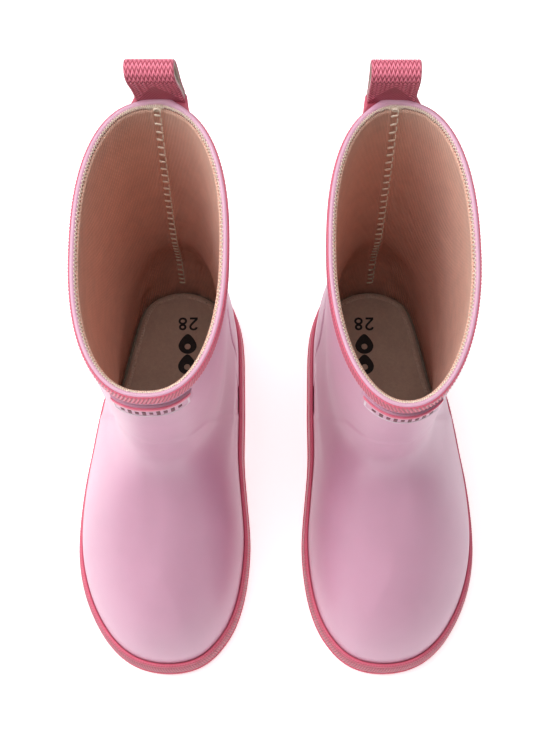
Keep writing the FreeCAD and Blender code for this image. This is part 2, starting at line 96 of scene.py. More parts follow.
DOME_M, Z_DOME, BLEND = 2.0, 12.0, 15.0
UP_IN, T_RUBBER, T_LINING, INSOLE_IN = 3.0, 2.2, 1.0, 8.4
Z_RIM, RIM_SLOPE, BIND_H = 203.0, -6.0 / 120.0, 8.5


def catmull(pts, n):
    pts = np.array(pts, float)
    m = len(pts)
    t = np.linspace(0, 1, 9)[:-1][:, None]
    fine = []
    for i in range(m):
        a, b, c, d = (pts[(i + k - 1) % m] for k in range(4))
        fine.append(0.5 * ((2 * b) + (-a + c) * t + (2 * a - 5 * b + 4 * c - d) * t * t + (-a + 3 * b - 3 * c + d) * t ** 3))
    fine = np.vstack(fine + [fine[0][:1]])
    s = np.concatenate([[0], np.cumsum(np.hypot(*np.diff(fine, axis=0).T))])
    q = s[-1] * np.arange(n) / n
    return np.stack([np.interp(q, s, fine[:, k]) for k in (0, 1)], 1)


def fourier(pts, n):
    """closed curve resampled smoothly to n points"""
    m = len(pts)
    z = np.fft.fft(pts[:, 0] + 1j * pts[:, 1])
    h = m // 2
    out = np.zeros(n, complex)
    out[:h] = z[:h]
    out[-(h - 1):] = z[-(h - 1):]
    w = np.fft.ifft(out) * n / m
    return np.stack([w.real, w.imag], 1)


OUT = catmull(RAW, 120)
for _ in range(2):
    OUT = (np.roll(OUT, 1, 0) + 2 * OUT + np.roll(OUT, -1, 0)) / 4


def outline(n, t=0.0):
    """n points (station, distance) of the sole's edge, moved in by t (a number or one per point), and normals"""
    P = fourier(OUT, n)
    d = np.roll(P, -1, 0) - np.roll(P, 1, 0)
    d /= np.linalg.norm(d, axis=1)[:, None]
    N = np.stack([d[:, 1], -d[:, 0]], 1)
    return P + N * np.reshape(t, (-1, 1)) if np.ndim(t) else P + N * t, N


class Table:
    def __init__(self, pts, soft):
        a = np.array(pts, float)
        self.x = np.arange(a[0, 0] - 60, a[-1, 0] + 60.5, 0.5)
        y = np.interp(self.x, a[:, 0], a[:, 1])
        k = np.exp(-0.5 * (np.arange(-90, 91) * 0.5 / soft) ** 2)
        self.y = np.convolve(np.pad(y, 90, mode="edge"), k / k.sum(), "valid")

    def __call__(self, x):
        return np.interp(x, self.x, self.y)


T_LEG = {s: {k: Table(v, 7.5) for k, v in LEG[s].items()} for s in LEG}
T_RIDGE, T_EDGE = Table(RIDGE, 6), Table(EDGE_R, 8)
T_FRONT, T_BACK = Table(FRONT, 4), Table(BACK, 6)

GX, GY, GS = -110.0, 0.0, 1.0
gx, gy = np.meshgrid(np.arange(GX, 112, GS), np.arange(GY, 110, GS), indexing="ij")
poly = outline(360, UP_IN)[0]
best = np.full(gx.shape, 1e9)
ins = np.zeros(gx.shape, bool)
for a, b in zip(np.roll(poly, 1, 0), poly):
    d = b - a
    t = np.clip(((gx - a[0]) * d[0] + (gy - a[1]) * d[1]) / (d @ d), 0, 1)
    best = np.minimum(best, np.hypot(gx - a[0] - t * d[0], gy - a[1] - t * d[1]))
    if a[1] != b[1]:
        ins ^= ((a[1] > gy) != (b[1] > gy)) & (gx < d[0] * (gy - a[1]) / d[1] + a[0])
SD = np.where(ins, best, -best)


def plan(F, p):
    x = np.clip((F - GX) / GS, 1.001, SD.shape[0] - 3.001)
    y = np.clip((p - GY) / GS, 1.001, SD.shape[1] - 3.001)
    i, j = x.astype(int), y.astype(int)
    a, b = x - i, y - j

    def w(t):
        return [(1 - t) ** 3 / 6, (3 * t ** 3 - 6 * t ** 2 + 4) / 6, (-3 * t ** 3 + 3 * t ** 2 + 3 * t + 1) / 6, t ** 3 / 6]
    wa, wb = w(a), w(b)
    return sum(wa[m] * wb[n] * SD[i + m - 1, j + n - 1] for m in range(4) for n in range(4))


def sstep(x):
    x = np.clip(x, 0, 1)
    return x * x * (3 - 2 * x)


def field(side, p, F, z):
    L = T_LEG[side]
    hw, pc, ff, fb = L["hw"](z), L["pc"](z), L["ff"](z), L["fb"](z)
    fc, hl = (ff + fb) / 2, (ff - fb) / 2
    dp, dF = p - pc, F - fc
    n = LEG_NB + (L["nf"](z) - LEG_NB) / (1 + np.exp(-dF / 6.0))
    r = np.hypot(dp, dF) + 1e-6
    rho = ((np.abs(dp) / hw) ** n + (np.abs(dF) / hl) ** n) ** (1 / n) + 1e-6
    leg = r - r / rho
    R, H = T_EDGE(F), T_RIDGE(F)
    s = plan(F, p)
    u, v = np.maximum((R - s) / R, 0), np.maximum((z - Z_DOME) / (H - Z_DOME), 0)
    m = DOME_M - 0.42 * sstep((55 - F) / 50) * sstep((p - 50) / 14) * sstep((z - 16) / 22)
    rho = (u ** m + v ** m + 1e-12) ** (1 / m)
    foot = (rho - 1) * (R + (H - Z_DOME - R) * np.clip((v - 0.5) * 1.2, 0, 1))
    w = np.clip((z - 20.0) / (35.0 + 30.0 * sstep((p - 55) / 15)), 0, 1)
    k = 0.5 + (BLEND - 0.5) * w * w * (3 - 2 * w)
    h = np.clip(0.5 + 0.5 * (foot - leg) / k, 0, 1)
    return foot * (1 - h) + leg * h - k * h * (1 - h)


def ring_z(z0, F):
    w = np.clip((z0 - 100.0) / (Z_RIM - 100.0), 0, 1)
    return z0 + RIM_SLOPE * w * (F + 90.0)


def surf(side, th, z0, t=0.0):
    """points (p, F, z) of the upper's form at direction th and height z0, t mm inside its outer face; and outward normals"""
    th, z0, t = np.broadcast_arrays(np.asarray(th, float), np.asarray(z0, float), np.asarray(t, float))
    ff, fb = T_FRONT(z0), T_BACK(z0)
    fc, hl = (ff + fb) / 2, (ff - fb) / 2
    L = np.maximum(hl - 30.0, 0)
    c, s = np.cos(th), np.sin(th)
    f0 = fc + L * c
    k = np.clip((z0 - 35) / 50.0, 0, 1)
    k = k * k * (3 - 2 * k)
    pb = 48.2 * k + (1 - k) * (47.6 + (f0 + 60) / 120.0 * 5.5)
    lo, hi = np.full(th.shape, -14.0), np.full(th.shape, 70.0)

    def g(r):
        F = f0 + r * c
        return field(side, pb + r * s, F, ring_z(z0, F))
    for _ in range(22):
        mid = (lo + hi) / 2
        neg = g(mid) < 0
        lo, hi = np.where(neg, mid, lo), np.where(neg, hi, mid)
    r = (lo + hi) / 2
    F, p = f0 + r * c, pb + r * s
    z = ring_z(z0, F)
    e = 0.5
    n = np.stack([field(side, p + e, F, z) - field(side, p - e, F, z), field(side, p, F + e, z) - field(side, p, F - e, z),
                  field(side, p, F, z + e) - field(side, p, F, z - e)], -1)
    n /= np.linalg.norm(n, axis=-1, keepdims=True) + 1e-9
    h = np.maximum(np.hypot(n[..., 0], n[..., 1]), 0.38)
    p, F = p - n[..., 0] / h * t / h, F - n[..., 1] / h * t / h
    return np.stack([p, F, ring_z(z0, F)], -1), n


def edge_at(side, p, z, back=True):
    """station of the outside of the leg at its back or front"""
    p, z = np.broadcast_arrays(np.asarray(p, float), np.asarray(z, float))
    lo, hi = (np.full(p.shape, -120.0), np.full(p.shape, -35.0)) if back else (np.full(p.shape, 0.0), np.full(p.shape, 60.0))
    for _ in range(26):
        mid = (lo + hi) / 2
        out = field(side, p, mid, z) > 0
        if back:
            lo, hi = np.where(out, mid, lo), np.where(out, hi, mid)
        else:
            lo, hi = np.where(out, lo, mid), np.where(out, mid, hi)
    return (lo + hi) / 2


def world(side, P):
    """(distance from the mid plane, station, height) in mm to the frame's metres"""
    P = np.asarray(P, float)
    return np.stack([(-P[..., 0] if side == "right" else P[..., 0]), F0 - P[..., 1], P[..., 2]], -1) * MM


# =====================================================================================================
# mesh builders
# =====================================================================================================
def make_mesh(name, verts, faces, uv=None, smooth=True, attr=None):
    """faces: int array (n, 4) or (n, 3), or a list of them; uv: one per vertex, in metres"""
    me = bpy.data.meshes.new(name)
    verts = np.asarray(verts, float).reshape(-1, 3)
    groups = faces if isinstance(faces, list) else [faces]
    groups = [np.asarray(f, int) for f in groups if len(f)]
    loops = np.concatenate([f.ravel() for f in groups])
    counts = np.concatenate([np.full(len(f), f.shape[1]) for f in groups])
    me.vertices.add(len(verts))
    me.vertices.foreach_set("co", verts.astype(np.float32).ravel())
    me.loops.add(len(loops))
    me.loops.foreach_set("vertex_index", loops.astype(np.int32))
    me.polygons.add(len(counts))
    me.polygons.foreach_set("loop_start", np.concatenate([[0], np.cumsum(counts)[:-1]]).astype(np.int32))
    me.polygons.foreach_set("loop_total", counts.astype(np.int32))
    if uv is not None:
        layer = me.uv_layers.new(name="UVMap")
        layer.data.foreach_set("uv", np.asarray(uv, np.float32).reshape(-1, 2)[loops].ravel())
    me.update(calc_edges=True)
    me.validate()
    me.polygons.foreach_set("use_smooth", np.full(len(me.polygons), smooth))
    if attr is not None:
        a = me.attributes.new("shade", "FLOAT", "POINT")
        a.data.foreach_set("value", np.asarray(attr, np.float32).ravel())
    ob = bpy.data.objects.new(name, me)
    bpy.context.scene.collection.objects.link(ob)
    return ob


def grid_faces(m, n, wrap_m=False, wrap_n=True, flip=False, base=0):
    i = np.arange(m if wrap_m else m - 1)
    j = np.arange(n if wrap_n else n - 1)
    I, J = np.meshgrid(i, j, indexing="ij")
    a, b = I * n + J, I * n + (J + 1) % n
    c, d = ((I + 1) % m) * n + (J + 1) % n, ((I + 1) % m) * n + J
    f = np.stack([a, b, c, d] if not flip else [a, d, c, b], -1).reshape(-1, 4)
    return f + base


def fix_normals(ob):
    bm = bmesh.new()
    bm.from_mesh(ob.data)
    bmesh.ops.recalc_face_normals(bm, faces=bm.faces)
    bm.to_mesh(ob.data)
    bm.free()
    return ob


def loop_sheet(name, rows, uv=None, closed=True, attr=None):
    """rows (m, n, 3): closed rings n round, m rows; closed also joins the last row to the first"""
    m, n = rows.shape[:2]
    ob = make_mesh(name, rows, grid_faces(m, n, wrap_m=closed), uv=uv, attr=attr)
    return fix_normals(ob)


def tubes(name, paths, radius, sides=6, closed=False, flat=1.0):
    """round threads along each path (k, 3) in metres, ends pinched"""
    V, Fq, base = [], [], 0
    ang = PI2 * np.arange(sides) / sides
    for P in paths:
        P = np.asarray(P, float)
        k = len(P)
        if closed:
            T = np.roll(P, -1, 0) - np.roll(P, 1, 0)
        else:
            T = np.gradient(P, axis=0)
        T /= np.linalg.norm(T, axis=1)[:, None] + 1e-12
        up = np.array([0.137, 0.213, 0.967])
        A = np.cross(T, up)
        A /= np.linalg.norm(A, axis=1)[:, None] + 1e-12
        B = np.cross(T, A)
        r = np.full(k, radius)
        if not closed:
            r = r * np.sqrt(np.clip(1 - (np.abs(np.linspace(-1, 1, k))) ** 10, 0.02, 1))
        ringv = P[:, None, :] + r[:, None, None] * (np.cos(ang)[None, :, None] * A[:, None, :] + flat * np.sin(ang)[None, :, None] * B[:, None, :])
        V.append(ringv.reshape(-1, 3))
        Fq.append(grid_faces(k, sides, wrap_m=closed, base=base))
        if not closed:
            pass
        base += k * sides
    return fix_normals(make_mesh(name, np.vstack(V), np.vstack(Fq)))


def capped_tubes(name, paths, radius, sides=6):
    """like tubes, each closed with a point at both ends"""
    V, Fq, Ft, base = [], [], [], 0
    ang = PI2 * np.arange(sides) / sides
    for P in paths:
        P = np.asarray(P, float)
        k = len(P)
        T = np.gradient(P, axis=0)
        T /= np.linalg.norm(T, axis=1)[:, None] + 1e-12
        A = np.cross(T, np.array([0.137, 0.213, 0.967]))
        A /= np.linalg.norm(A, axis=1)[:, None] + 1e-12
        B = np.cross(T, A)
        r = radius * np.sqrt(np.clip(1 - (np.abs(np.linspace(-1, 1, k))) ** 6, 0.08, 1))
        ringv = P[:, None, :] + r[:, None, None] * (np.cos(ang)[None, :, None] * A[:, None, :] + np.sin(ang)[None, :, None] * B[:, None, :])
        V.append(ringv.reshape(-1, 3))
        V.append(P[[0, -1]] + np.array([-T[0], T[-1]]) * radius * 0.35)
        Fq.append(grid_faces(k, sides, base=base))
        s0, s1 = base + k * sides, base + k * sides + 1
        j = np.arange(sides)
        Ft.append(np.stack([np.full(sides, s0), base + (j + 1) % sides, base + j], 1))
        Ft.append(np.stack([np.full(sides, s1), base + (k - 1) * sides + j, base + (k - 1) * sides + (j + 1) % sides], 1))
        base += k * sides + 2
    return fix_normals(make_mesh(name, np.vstack(V), [np.vstack(Fq), np.vstack(Ft)]))


# =====================================================================================================
# materials
# =====================================================================================================
class Mat:
    def __init__(self, name, base, rough, **kw):
        self.m = bpy.data.materials.new(name)
        self.m.use_nodes = True
        self.nt = self.m.node_tree
        self.b = self.nt.nodes["Principled BSDF"]
        self.b.inputs["Base Color"].default_value = (*base, 1)
        self.b.inputs["Roughness"].default_value = rough
        for k, v in kw.items():
            self.b.inputs[k.replace("_", " ")].default_value = v
        self.base = base
        self.h = None

    def node(self, kind, **kw):
        n = self.nt.nodes.new(kind)
        for k, v in kw.items():
            setattr(n, k, v)
        return n

    def link(self, a, b):
        self.nt.links.new(a, b)

    def math(self, op, a, b=None, clamp=False):
        n = self.node("ShaderNodeMath", operation=op, use_clamp=clamp)
        for i, v in enumerate((a, b)):
            if v is None:
                continue
            if isinstance(v, (int, float)):
                n.inputs[i].default_value = v
            else:
                self.link(v, n.inputs[i])
        return n.outputs[0]

    def coords(self):
        return self.node("ShaderNodeTexCoord").outputs["Object"]

    def uv(self):
        s = self.node("ShaderNodeSeparateXYZ")
        self.link(self.node("ShaderNodeUVMap", uv_map="UVMap").outputs[0], s.inputs[0])
        return s.outputs[0], s.outputs[1]

    def attr(self):
        return self.node("ShaderNodeAttribute", attribute_name="shade").outputs["Fac"]

    def noise(self, scale, detail=4, rough=0.55, vec=None, stretch=None):
        n = self.node("ShaderNodeTexNoise")
        n.inputs["Scale"].default_value = scale
        n.inputs["Detail"].default_value = detail
        n.inputs["Roughness"].default_value = rough
        v = vec if vec is not None else self.coords()
        if stretch:
            mp = self.node("ShaderNodeMapping")
            mp.inputs["Scale"].default_value = stretch
            self.link(v, mp.inputs[0])
            v = mp.outputs[0]
        self.link(v, n.inputs["Vector"])
        return n.outputs["Fac"]

    def wave(self, coord, pitch, phase=0.0):
        """0..1 sine of a length in metres"""
        a = self.math("MULTIPLY", coord, PI2 / pitch)
        a = self.math("ADD", a, phase)
        a = self.math("SINE", a)
        return self.math("MULTIPLY_ADD", a, 0.5) if False else self.math("ADD", self.math("MULTIPLY", a, 0.5), 0.5)

    def colour(self, fac, c0, c1, lo=0.0, hi=1.0):
        r = self.node("ShaderNodeValToRGB")
        r.color_ramp.elements[0].position = lo
        r.color_ramp.elements[1].position = hi
        r.color_ramp.elements[0].color = (*c0, 1)
        r.color_ramp.elements[1].color = (*c1, 1)
        self.link(fac, r.inputs[0])
        return r.outputs[0]

    def set_colour(self, out):
        self.link(out, self.b.inputs["Base Color"])

    def set_rough(self, fac, lo, hi):
        r = self.node("ShaderNodeMapRange")
        r.inputs[1].default_value, r.inputs[2].default_value = 0, 1
        r.inputs[3].default_value, r.inputs[4].default_value = lo, hi
        self.link(fac, r.inputs[0])
        self.link(r.outputs[0], self.b.inputs["Roughness"])

    def bump(self, height, strength, dist):
        n = self.node("ShaderNodeBump")
        n.inputs["Strength"].default_value = strength
        n.inputs["Distance"].default_value = dist
        self.link(height, n.inputs["Height"])
        if self.h is not None:
            self.link(self.h, n.inputs["Normal"])
        self.h = n.outputs[0]
        self.link(self.h, self.b.inputs["Normal"])


def shade(c, k):
    return tuple(min(1.0, x * k) for x in c)


# pale pink satin rubber
PINK = (0.700, 0.375, 0.510)
m_upper = Mat("rubber_pale_pink", PINK, 0.40, Specular_IOR_Level=0.62, Coat_Weight=0.30, Coat_Roughness=0.38,
              Subsurface_Weight=0.10, Subsurface_Scale=0.004)
m_upper.b.inputs["Subsurface Radius"].default_value = (1.0, 0.45, 0.55)
n1 = m_upper.noise(38, 3, 0.5)
m_upper.set_colour(m_upper.colour(n1, shade(PINK, 0.965), shade(PINK, 1.03), 0.3, 0.7))
n2 = m_upper.noise(420, 3, 0.6)
m_upper.set_rough(n2, 0.38, 0.48)
m_upper.bump(m_upper.noise(55, 2, 0.4), 0.10, 0.0006)
m_upper.bump(n2, 0.05, 0.0001)

# coral rubber: sole, foxing, binding
CORAL = (0.74, 0.115, 0.190)
m_trim = Mat("rubber_coral", CORAL, 0.42, Specular_IOR_Level=0.4, Subsurface_Weight=0.06, Subsurface_Scale=0.002)
m_trim.b.inputs["Subsurface Radius"].default_value = (1.0, 0.3, 0.35)
n1 = m_trim.noise(90, 4, 0.6)
m_trim.set_colour(m_trim.colour(n1, shade(CORAL, 0.92), shade(CORAL, 1.06), 0.3, 0.7))
m_trim.set_rough(m_trim.noise(600, 3, 0.6), 0.36, 0.50)
m_trim.bump(m_trim.noise(700, 3, 0.6), 0.10, 0.0002)

m_sole = Mat("rubber_coral_sole", shade(CORAL, 0.97), 0.5, Specular_IOR_Level=0.35)
n1 = m_sole.noise(60, 5, 0.65)
m_sole.set_colour(m_sole.colour(n1, shade(CORAL, 0.86), shade(CORAL, 1.03), 0.3, 0.7))
m_sole.set_rough(m_sole.noise(300, 4, 0.6), 0.42, 0.60)
m_sole.bump(m_sole.noise(900, 3, 0.6), 0.15, 0.0002)

# ribbed coral rubber for the binding and the foxing band: the colour follows the 'shade' attribute, darker in the rib
# valleys and grooves as painted shade and lighter on the rib crests as painted highlight
m_bind = Mat("rubber_coral_ribbed", CORAL, 0.40, Specular_IOR_Level=0.42)
m_bind.set_colour(m_bind.colour(m_bind.attr(), shade(CORAL, 0.50), (0.80, 0.16, 0.245), 0.0, 0.95))
m_bind.bump(m_bind.noise(900, 2, 0.5), 0.08, 0.0002)

# rib-knit lining: cream, fine ribs up the leg
CREAM = (0.90, 0.485, 0.36)
m_lining = Mat("rib_knit_cream", CREAM, 0.92, Specular_IOR_Level=0.12, Sheen_Weight=0.25, Sheen_Roughness=0.5)
u, v = m_lining.uv()
rib = m_lining.wave(u, 0.00112)
wale = m_lining.math("MULTIPLY", m_lining.wave(m_lining.math("ADD", v, m_lining.math("MULTIPLY", rib, 0.0002)), 0.00062), 0.45)
knit = m_lining.math("ADD", rib, wale)
n1 = m_lining.noise(140, 5, 0.65)
mixf = m_lining.math("ADD", m_lining.math("MULTIPLY", knit, 0.42), m_lining.math("MULTIPLY", n1, 0.5))
# the lining's colour is painted by height: below 186 mm a darker, more saturated copy stands for painted shade deep
# inside the boot, and toward the rim it blends partway into a lighter, paler copy as painted light on the top of the
# lining
lining_painted_shade_low = m_lining.colour(mixf, shade(CREAM, 0.66), shade(CREAM, 1.10), 0.15, 0.80)
pale = m_lining.colour(mixf, (0.80, 0.52, 0.40), (0.95, 0.68, 0.55), 0.15, 0.85)
mx = m_lining.node("ShaderNodeMix", data_type="RGBA")
m_lining.link(m_lining.math("MULTIPLY", m_lining.math("SUBTRACT", v, 0.186), 24.0, clamp=True), mx.inputs[0])
m_lining.link(lining_painted_shade_low, mx.inputs[6])
m_lining.link(pale, mx.inputs[7])
m_lining.set_colour(mx.outputs[2])
m_lining.bump(knit, 0.75, 0.00035)
m_lining.bump(m_lining.noise(2600, 3, 0.7), 0.25, 0.00012)

m_thread = Mat("thread_cream", (0.92, 0.78, 0.64), 0.75, Specular_IOR_Level=0.25, Sheen_Weight=0.2)
n1 = m_thread.noise(1500, 3, 0.6)
m_thread.set_colour(m_thread.colour(n1, (0.86, 0.68, 0.52), (0.98, 0.88, 0.76), 0.3, 0.7))
m_thread.bump(n1, 0.4, 0.0001)

# insole textile
INS = (0.52, 0.365, 0.29)
m_insole = Mat("insole_felted_textile", INS, 0.93, Specular_IOR_Level=0.1, Sheen_Weight=0.2)
n1 = m_insole.noise(900, 4, 0.7)
n2 = m_insole.noise(60, 4, 0.6)
mixf = m_insole.math("ADD", m_insole.math("MULTIPLY", n1, 0.6), m_insole.math("MULTIPLY", n2, 0.4))
m_insole.set_colour(m_insole.colour(mixf, shade(INS, 0.82), shade(INS, 1.12), 0.3, 0.7))
m_insole.bump(n1, 0.5, 0.00022)

m_trimtex = Mat("insole_stitched_trim", (0.60, 0.44, 0.36), 0.85, Specular_IOR_Level=0.15, Sheen_Weight=0.2)
n1 = m_trimtex.noise(1300, 3, 0.6)
m_trimtex.set_colour(m_trimtex.colour(n1, (0.50, 0.35, 0.28), (0.68, 0.51, 0.42), 0.3, 0.7))
m_trimtex.bump(n1, 0.4, 0.00012)

m_foam = Mat("insole_foam", (0.62, 0.55, 0.50), 0.9)
n1 = m_foam.noise(1500, 3, 0.6)
m_foam.set_colour(m_foam.colour(n1, (0.52, 0.46, 0.42), (0.68, 0.61, 0.56), 0.3, 0.7))
m_foam.bump(n1, 0.5, 0.0002)

m_ink = Mat("print_ink", (0.012, 0.008, 0.008), 0.6, Specular_IOR_Level=0.3)
n1 = m_ink.noise(1200, 3, 0.7)
m_ink.set_colour(m_ink.colour(n1, (0.008, 0.005, 0.005), (0.03, 0.018, 0.016), 0.35, 0.75))
m_ink.bump(n1, 0.3, 0.0001)

# webbing: colour follows the woven height, dark in the weave's hollows as painted shade and light on its crests as
# painted highlight
m_web = Mat("webbing_coral", (0.80, 0.13, 0.22), 0.5, Specular_IOR_Level=0.45, Sheen_Weight=0.08)
m_web.b.inputs["Sheen Tint"].default_value = (1.0, 0.75, 0.8, 1)
n1 = m_web.noise(1800, 3, 0.6)
f = m_web.math("ADD", m_web.math("MULTIPLY", m_web.attr(), 0.85), m_web.math("MULTIPLY", n1, 0.2))
m_web.set_colour(m_web.colour(f, (0.26, 0.010, 0.035), (0.95, 0.27, 0.37), 0.12, 0.95))
m_web.bump(n1, 0.35, 0.0001)

m_tape = Mat("tape_cotton", (0.66, 0.58, 0.49), 0.85, Specular_IOR_Level=0.15, Sheen_Weight=0.2)
u, v = m_tape.uv()
k = m_tape.math("MULTIPLY", m_tape.wave(u, 0.0007), m_tape.wave(v, 0.0007))
m_tape.set_colour(m_tape.colour(k, (0.50, 0.42, 0.35), (0.74, 0.66, 0.57), 0.0, 0.9))
m_tape.bump(k, 0.5, 0.0002)

m_white = Mat("label_outline_white", (0.86, 0.72, 0.78), 0.4, Specular_IOR_Level=0.4)
n1 = m_white.noise(300, 3, 0.6)
m_white.set_colour(m_white.colour(n1, (0.80, 0.66, 0.72), (0.90, 0.78, 0.83), 0.3, 0.7))
m_bar = Mat("label_bar_coral", (0.86, 0.20, 0.30), 0.4, Specular_IOR_Level=0.4)
n1 = m_bar.noise(300, 3, 0.6)
m_bar.set_colour(m_bar.colour(n1, (0.80, 0.17, 0.26), (0.90, 0.24, 0.34), 0.3, 0.7))
m_motif = Mat("label_motif_dark", (0.16, 0.03, 0.055), 0.5, Specular_IOR_Level=0.4)
n1 = m_motif.noise(900, 3, 0.6)
m_motif.set_colour(m_motif.colour(n1, (0.12, 0.02, 0.04), (0.22, 0.05, 0.08), 0.3, 0.7))
m_board = Mat("fibre_board", (0.35, 0.27, 0.21), 0.9)
n1 = m_board.noise(400, 5, 0.7)
m_board.set_colour(m_board.colour(n1, (0.27, 0.20, 0.15), (0.42, 0.33, 0.26), 0.3, 0.7))


def dress(ob, mat):
    ob.data.materials.clear()
    ob.data.materials.append(mat.m)
    return ob


# =====================================================================================================
# one boot
# =====================================================================================================
Z_VAMP = 125.0            # top edge of the vamp on the leg's front


def vamp_edge(F, z):
    """mm outside the vamp's edge line, negative on the vamp"""
    a, b = z - Z_VAMP, (-31.5 + 0.38 * z - F) * 0.935
    k = 13.0
    h = np.clip(0.5 + 0.5 * (a - b) / k, 0, 1)
    return b * (1 - h) + a * h + k * h * (1 - h)


def build(side):
    body = side + "_boot"
    N = lambda s: side + "_" + s
    lo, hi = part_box(N("pull_loop"))
    loop_p = abs((lo.x + hi.x) / 2) / MM
    loop_half = (hi.x - lo.x) / 2 / MM
    neck = F0 - (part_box(N("loop_anchor"))[0].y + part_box(N("loop_anchor"))[1].y) / 2 / MM
    AN = 2.5
    seam_p = abs((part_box(N("lining_seam"))[0].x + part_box(N("lining_seam"))[1].x) / 2) / MM

    # ---- upper rubber -------------------------------------------------------------------------------
    nth = 384
    th = PI2 * np.arange(nth) / nth
    zs = np.concatenate([np.linspace(5.2, 30, 16)[:-1], np.linspace(30, 90, 96)[:-1], np.linspace(90, 135, 30)[:-1],
                         np.linspace(135, 202.0, 40)])

    def back_bulge(P, k=0.5):
        """the wall runs out to a slight point where the seam and the loop's ends lie under the binding"""
        w = np.exp(-(np.abs(P[..., 0] - loop_p) / 6.0) ** 1.35) * sstep((P[..., 2] - 186) / 14) * (P[..., 1] < -60)
        P = P.copy()
        P[..., 1] -= k * w
        P[..., 2] += 0.35 * k * w * sstep((P[..., 2] - 199) / 4)
        return P

    G, NRM = surf(side, th[None, :], zs[:, None], 0.0)
    ridge = sstep((-vamp_edge(G[..., 1], G[..., 2]) + 0.9) / 1.8)
    lift = 0.34 * ridge                                           # the vamp stands a little proud of the leg
    lip = 0.12 * np.exp(-((vamp_edge(G[..., 1], G[..., 2]) + 1.6) / 1.1) ** 2)
    e = lift + lip - 0.34
    Gd = G + NRM * e[..., None]
    Gd = back_bulge(Gd, 3.2)
    arc = np.linspace(0, 1, nth, endpoint=False) * 0.30
    # rim: a soft rounded edge, then down the inside
    prof = [(0.0, 202.35), (0.12, 202.8), (0.4, 203.12), (0.8, 203.28), (1.25, 203.3), (1.7, 203.12), (2.05, 202.7), (2.2, 202.0),
            (2.2, 199.0)]
    top = np.stack([back_bulge(surf(side, th, z, t)[0], 0.5 + 2.7 * max(1 - t / 1.9, 0)) for t, z in prof])
    zi = np.linspace(196, 6, 60)
    inner = surf(side, th[None, :], zi[:, None], T_RUBBER)[0]
    rows = np.concatenate([Gd, top, back_bulge(inner)])
    uvv = np.zeros(rows.shape[:2] + (2,))
    uvv[..., 0] = arc[None, :]
    uvv[..., 1] = np.arange(len(rows))[:, None] * 0.001
    upper = loop_sheet(N("upper_rubber"), world(side, rows), uv=uvv, closed=True)
    dress(upper, m_upper)
    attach(upper, body)
    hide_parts(N("leg_rubber"), N("vamp_rubber"))

    # ---- heel counter: a thin patch with a soft edge ---------------------------------------------------
    lo_c, hi_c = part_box(N("heel_counter"))
    f_edge = F0 - lo_c.y / MM
    z_top = hi_c.z / MM
    zc = np.linspace(15.6, z_top + 2.5, 60)
    thc = np.linspace(math.pi - 1.9, math.pi + 1.9, 260)
    P, Nn = surf(side, thc[None, :], zc[:, None], 0.0)
    a1 = (P[..., 1] - (f_edge - 0.0) + (P[..., 2] - 40) * 0.12)
    a2 = P[..., 2] - z_top
    kk = 14.0
    h = np.clip(0.5 + 0.5 * (a1 - a2) / kk, 0, 1)
    s = a2 * (1 - h) + a1 * h + kk * h * (1 - h)
    off = -0.34 - 0.15 + 0.62 * sstep((-s + 0.2) / 1.8)
    Q = world(side, P + Nn * off[..., None])
    keep = s < 0.6
    Fq = grid_faces(len(zc), len(thc), wrap_n=False)
    Fq = Fq[keep.ravel()[Fq].all(1)]
    used = np.unique(Fq)
    idx = np.full(Q.reshape(-1, 3).shape[0], -1)
    idx[used] = np.arange(len(used))
    counter = make_mesh(N("heel_counter_patch"), Q.reshape(-1, 3)[used], idx[Fq],
                        uv=np.stack(np.broadcast_arrays(thc[None, :] * 0.03, zc[:, None] * MM), -1).reshape(-1, 2)[used])
    sol = counter.modifiers.new("thick", "SOLIDIFY")
    sol.thickness = 0.0006
    sol.offset = -1
    fix_normals(counter)
    dress(counter, m_upper)
    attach(counter, body)
    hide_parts(N("heel_counter"))

    # ---- lining ----------------------------------------------------------------------------------------
    nl = 420
    tl = PI2 * np.arange(nl) / nl
    zl = np.concatenate([np.linspace(9.0, 90, 70)[:-1], np.linspace(90, 201.3, 60)])

    def lining(name, zrange, mat, node):
        T1 = T_RUBBER + 0.05 + T_LINING
        Pi, Ni = surf(side, tl[None, :], zrange[:, None], T1)
        isback = Pi[..., 1] < -50
        d = np.abs(Pi[..., 0] - seam_p)
        bead = (0.42 * np.exp(-((d - 1.9) / 0.6) ** 2) - 0.30 * np.exp(-(d / 1.0) ** 4)) * isback * sstep((Pi[..., 2] - 16) / 10)
        wob = 0.12 * np.sin(Pi[..., 2] * 0.21 + Pi[..., 0] * 0.13) * np.sin(Pi[..., 1] * 0.09)
        Pi = Pi - Ni * (bead + wob * sstep((200 - Pi[..., 2]) / 30))[..., None]
        Po = surf(side, tl[None, :], zrange[::-1][::6][:, None], T_RUBBER + 0.1)[0]
        rows = np.concatenate([back_bulge(Pi), back_bulge(Po)])
        uvv = np.zeros(rows.shape[:2] + (2,))
        uvv[..., 0] = np.linspace(0, 1, nl, endpoint=False)[None, :] * 0.2952
        uvv[..., 1] = np.concatenate([zrange, zrange[::-1][::6]])[:, None] * MM
        ob = loop_sheet(N(name), world(side, rows), uv=uvv, closed=True)
        dress(ob, mat)
        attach(ob, body)
        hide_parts(N(node))
        return ob

    lining("leg_lining_knit", zl[zl > 71], m_lining, "leg_lining")
    lining("foot_lining_knit", np.concatenate([zl[zl <= 71], [71.9]]), m_lining, "foot_lining")

